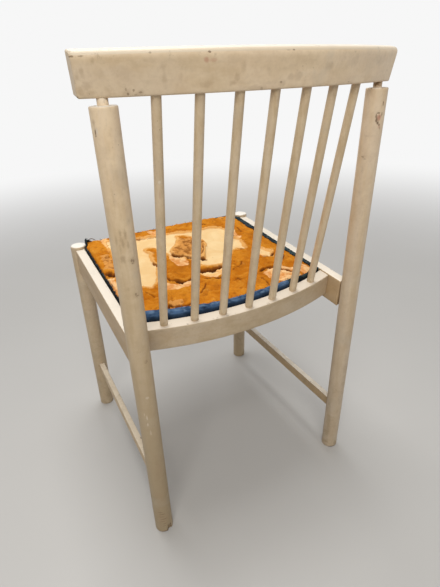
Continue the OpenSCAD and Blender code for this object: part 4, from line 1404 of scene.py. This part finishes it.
def make_curl():
    """The stiff brown shred and thread that stick out of the torn corner."""
    t = Shaper("shred", Thickness="Float")
    line = t.add("GeometryNodeMeshToCurve", None, {0: t.given_shape()})
    ring = t.add("GeometryNodeCurvePrimitiveCircle", None,
                 {"Resolution": 8, "Radius": t.input("Thickness")})
    t.end(t.add("GeometryNodeCurveToMesh", None,
                {"Curve": line, "Profile Curve": ring, "Fill Caps": True}), CURL)
    for name, start, run, rise, bow in (("torn_corner_shred", (186, -393, 10), -16, 2, 4),
                                        ("torn_corner_thread", (184, -390, 8), -12, -2, 3)):
        path = []
        for k in range(SHRED_STEPS + 1):
            q = k / SHRED_STEPS
            path.append(seat((start[0] + run * q) * MM, (start[1] + 3 * q) * MM,
                             (start[2] + rise * q + bow * math.sin(math.pi * q)) * MM))
        mesh = bpy.data.meshes.new(name)
        mesh.from_pydata([tuple(p) for p in path], [(k, k + 1) for k in range(SHRED_STEPS)], [])
        t.make(name, "cover_cloth", mesh, Thickness=0.75 * MM)


def make_crumbs():
    """Loose crumbs of the brittle foam, lying on what is left of its crust."""
    t = Shaper("foam crumbs", Density="Float", Size="Float", Seed="Int")
    torn = t.add("GeometryNodeInputNamedAttribute", {"data_type": "FLOAT"}, {"Name": "torn"})
    up = t.add("ShaderNodeSeparateXYZ", None, {0: t.add("GeometryNodeInputNormal")}, "Z")
    share = (1 - torn * 0.9) * t.maths("GREATER_THAN", up, 0.55)
    spots = t.add("GeometryNodeDistributePointsOnFaces", None,
                  {"Mesh": t.given_shape(), "Density": t.input("Density") * share,
                   "Seed": t.input("Seed")}, "Points")
    ball = t.add("GeometryNodeMeshIcoSphere", None, {"Radius": t.input("Size"), "Subdivisions": 1})
    turn = t.random((0.0, 0.0, 0.0), (6.2, 6.2, 6.2), t.input("Seed") + 1)
    size = t.random((0.3, 0.3, 0.25), (1.25, 1.1, 0.9), t.input("Seed") + 2)
    placed = t.add("GeometryNodeInstanceOnPoints", None,
                   {"Points": spots, "Instance": ball, "Rotation": turn, "Scale": size})
    t.end(placed, FOAM)
    t.make("loose_foam_crumbs", "foam", foam.data.copy(), Density=5000.0, Size=1.4 * MM, Seed=5)


make_threads()
make_curl()
make_crumbs()


# ---------------------------------------------------------------- looks of the plain pieces
def dress(material, *names):
    """Gives CAD pieces that keep their shape a finish."""
    for name in names:
        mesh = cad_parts[name].data
        mesh.materials.clear()
        mesh.materials.append(material)


dress(BEECH, "rear_rail_dowels", "corner_block_front_left", "corner_block_front_right",
      "corner_block_rear_left", "corner_block_rear_right")
dress(PLYWOOD, "seat_board")
dress(STEEL, "block_screws", "seat_screws", "cover_staples")


# ---------------------------------------------------------------- floor and light
PALE = (0.93, 0.93, 0.93)
FLOOR_SIZE = 60
ROOM_LIGHT = 0.36


def unlit_share(b):
    """1 where the camera looks, straight or by way of metal or glass, and 0 for light."""
    return b.most(*(b.add("ShaderNodeLightPath", out=f"Is {kind} Ray")
                    for kind in ("Camera", "Glossy", "Transmission")))


def make_floor():
    """A grey floor that runs out into the pale backdrop."""
    bpy.ops.mesh.primitive_plane_add(size=FLOOR_SIZE, location=(0, 0, 0))
    floor = bpy.context.object
    floor.name = "floor"
    b = Finish("floor_paint")
    shade = b.mix(b.noise(2.2, 2), (0.50, 0.495, 0.485), (0.54, 0.535, 0.525))
    b.finish(shade, 0.5)
    far = b.step(b.vectors("LENGTH", b.place, out=1), 0.9, 3.6)
    glow = b.add("ShaderNodeEmission", None, {"Color": (*PALE, 1), "Strength": 1.0})
    blend = b.add("ShaderNodeMixShader", None,
                  {0: far * unlit_share(b), 1: Wire(b, b.shader.outputs[0]), 2: glow})
    b.tree.links.new(blend.socket, b.tree.nodes["Material Output"].inputs[0])
    floor.data.materials.append(b.material)


def make_room():
    world = bpy.data.worlds.new("room")
    bpy.context.scene.world = world
    world.use_nodes = True
    b = Bench(world.node_tree)
    back = b.tree.nodes["Background"]
    seen = unlit_share(b)
    b.tree.links.new(b.mix(seen, (1, 0.975, 0.94), PALE).socket, back.inputs[0])
    b.tree.links.new((ROOM_LIGHT + seen * (1 - ROOM_LIGHT)).socket, back.inputs[1])
    for name, place, aim, power, size, tint in (
            ("ceiling_lamp", (0.0, -0.5, 2.5), (0, 0, 0.4), 30, 1.2, (1, 0.99, 0.97)),
            ("near_lamp", (0.75, 1.45, 1.95), (0, 0.1, 0.6), 24, 1.1, (1, 0.97, 0.92))):
        data = bpy.data.lights.new(name, "AREA")
        data.energy, data.size, data.color = power, size, tint
        lamp = bpy.data.objects.new(name, data)
        lamp.location = place
        lamp.rotation_mode = "QUATERNION"
        lamp.rotation_quaternion = (Vector(place) - Vector(aim)).to_track_quat("Z", "Y")
        bpy.context.scene.collection.objects.link(lamp)
    bpy.context.scene.view_settings.view_transform = "Standard"


make_floor()
make_room()
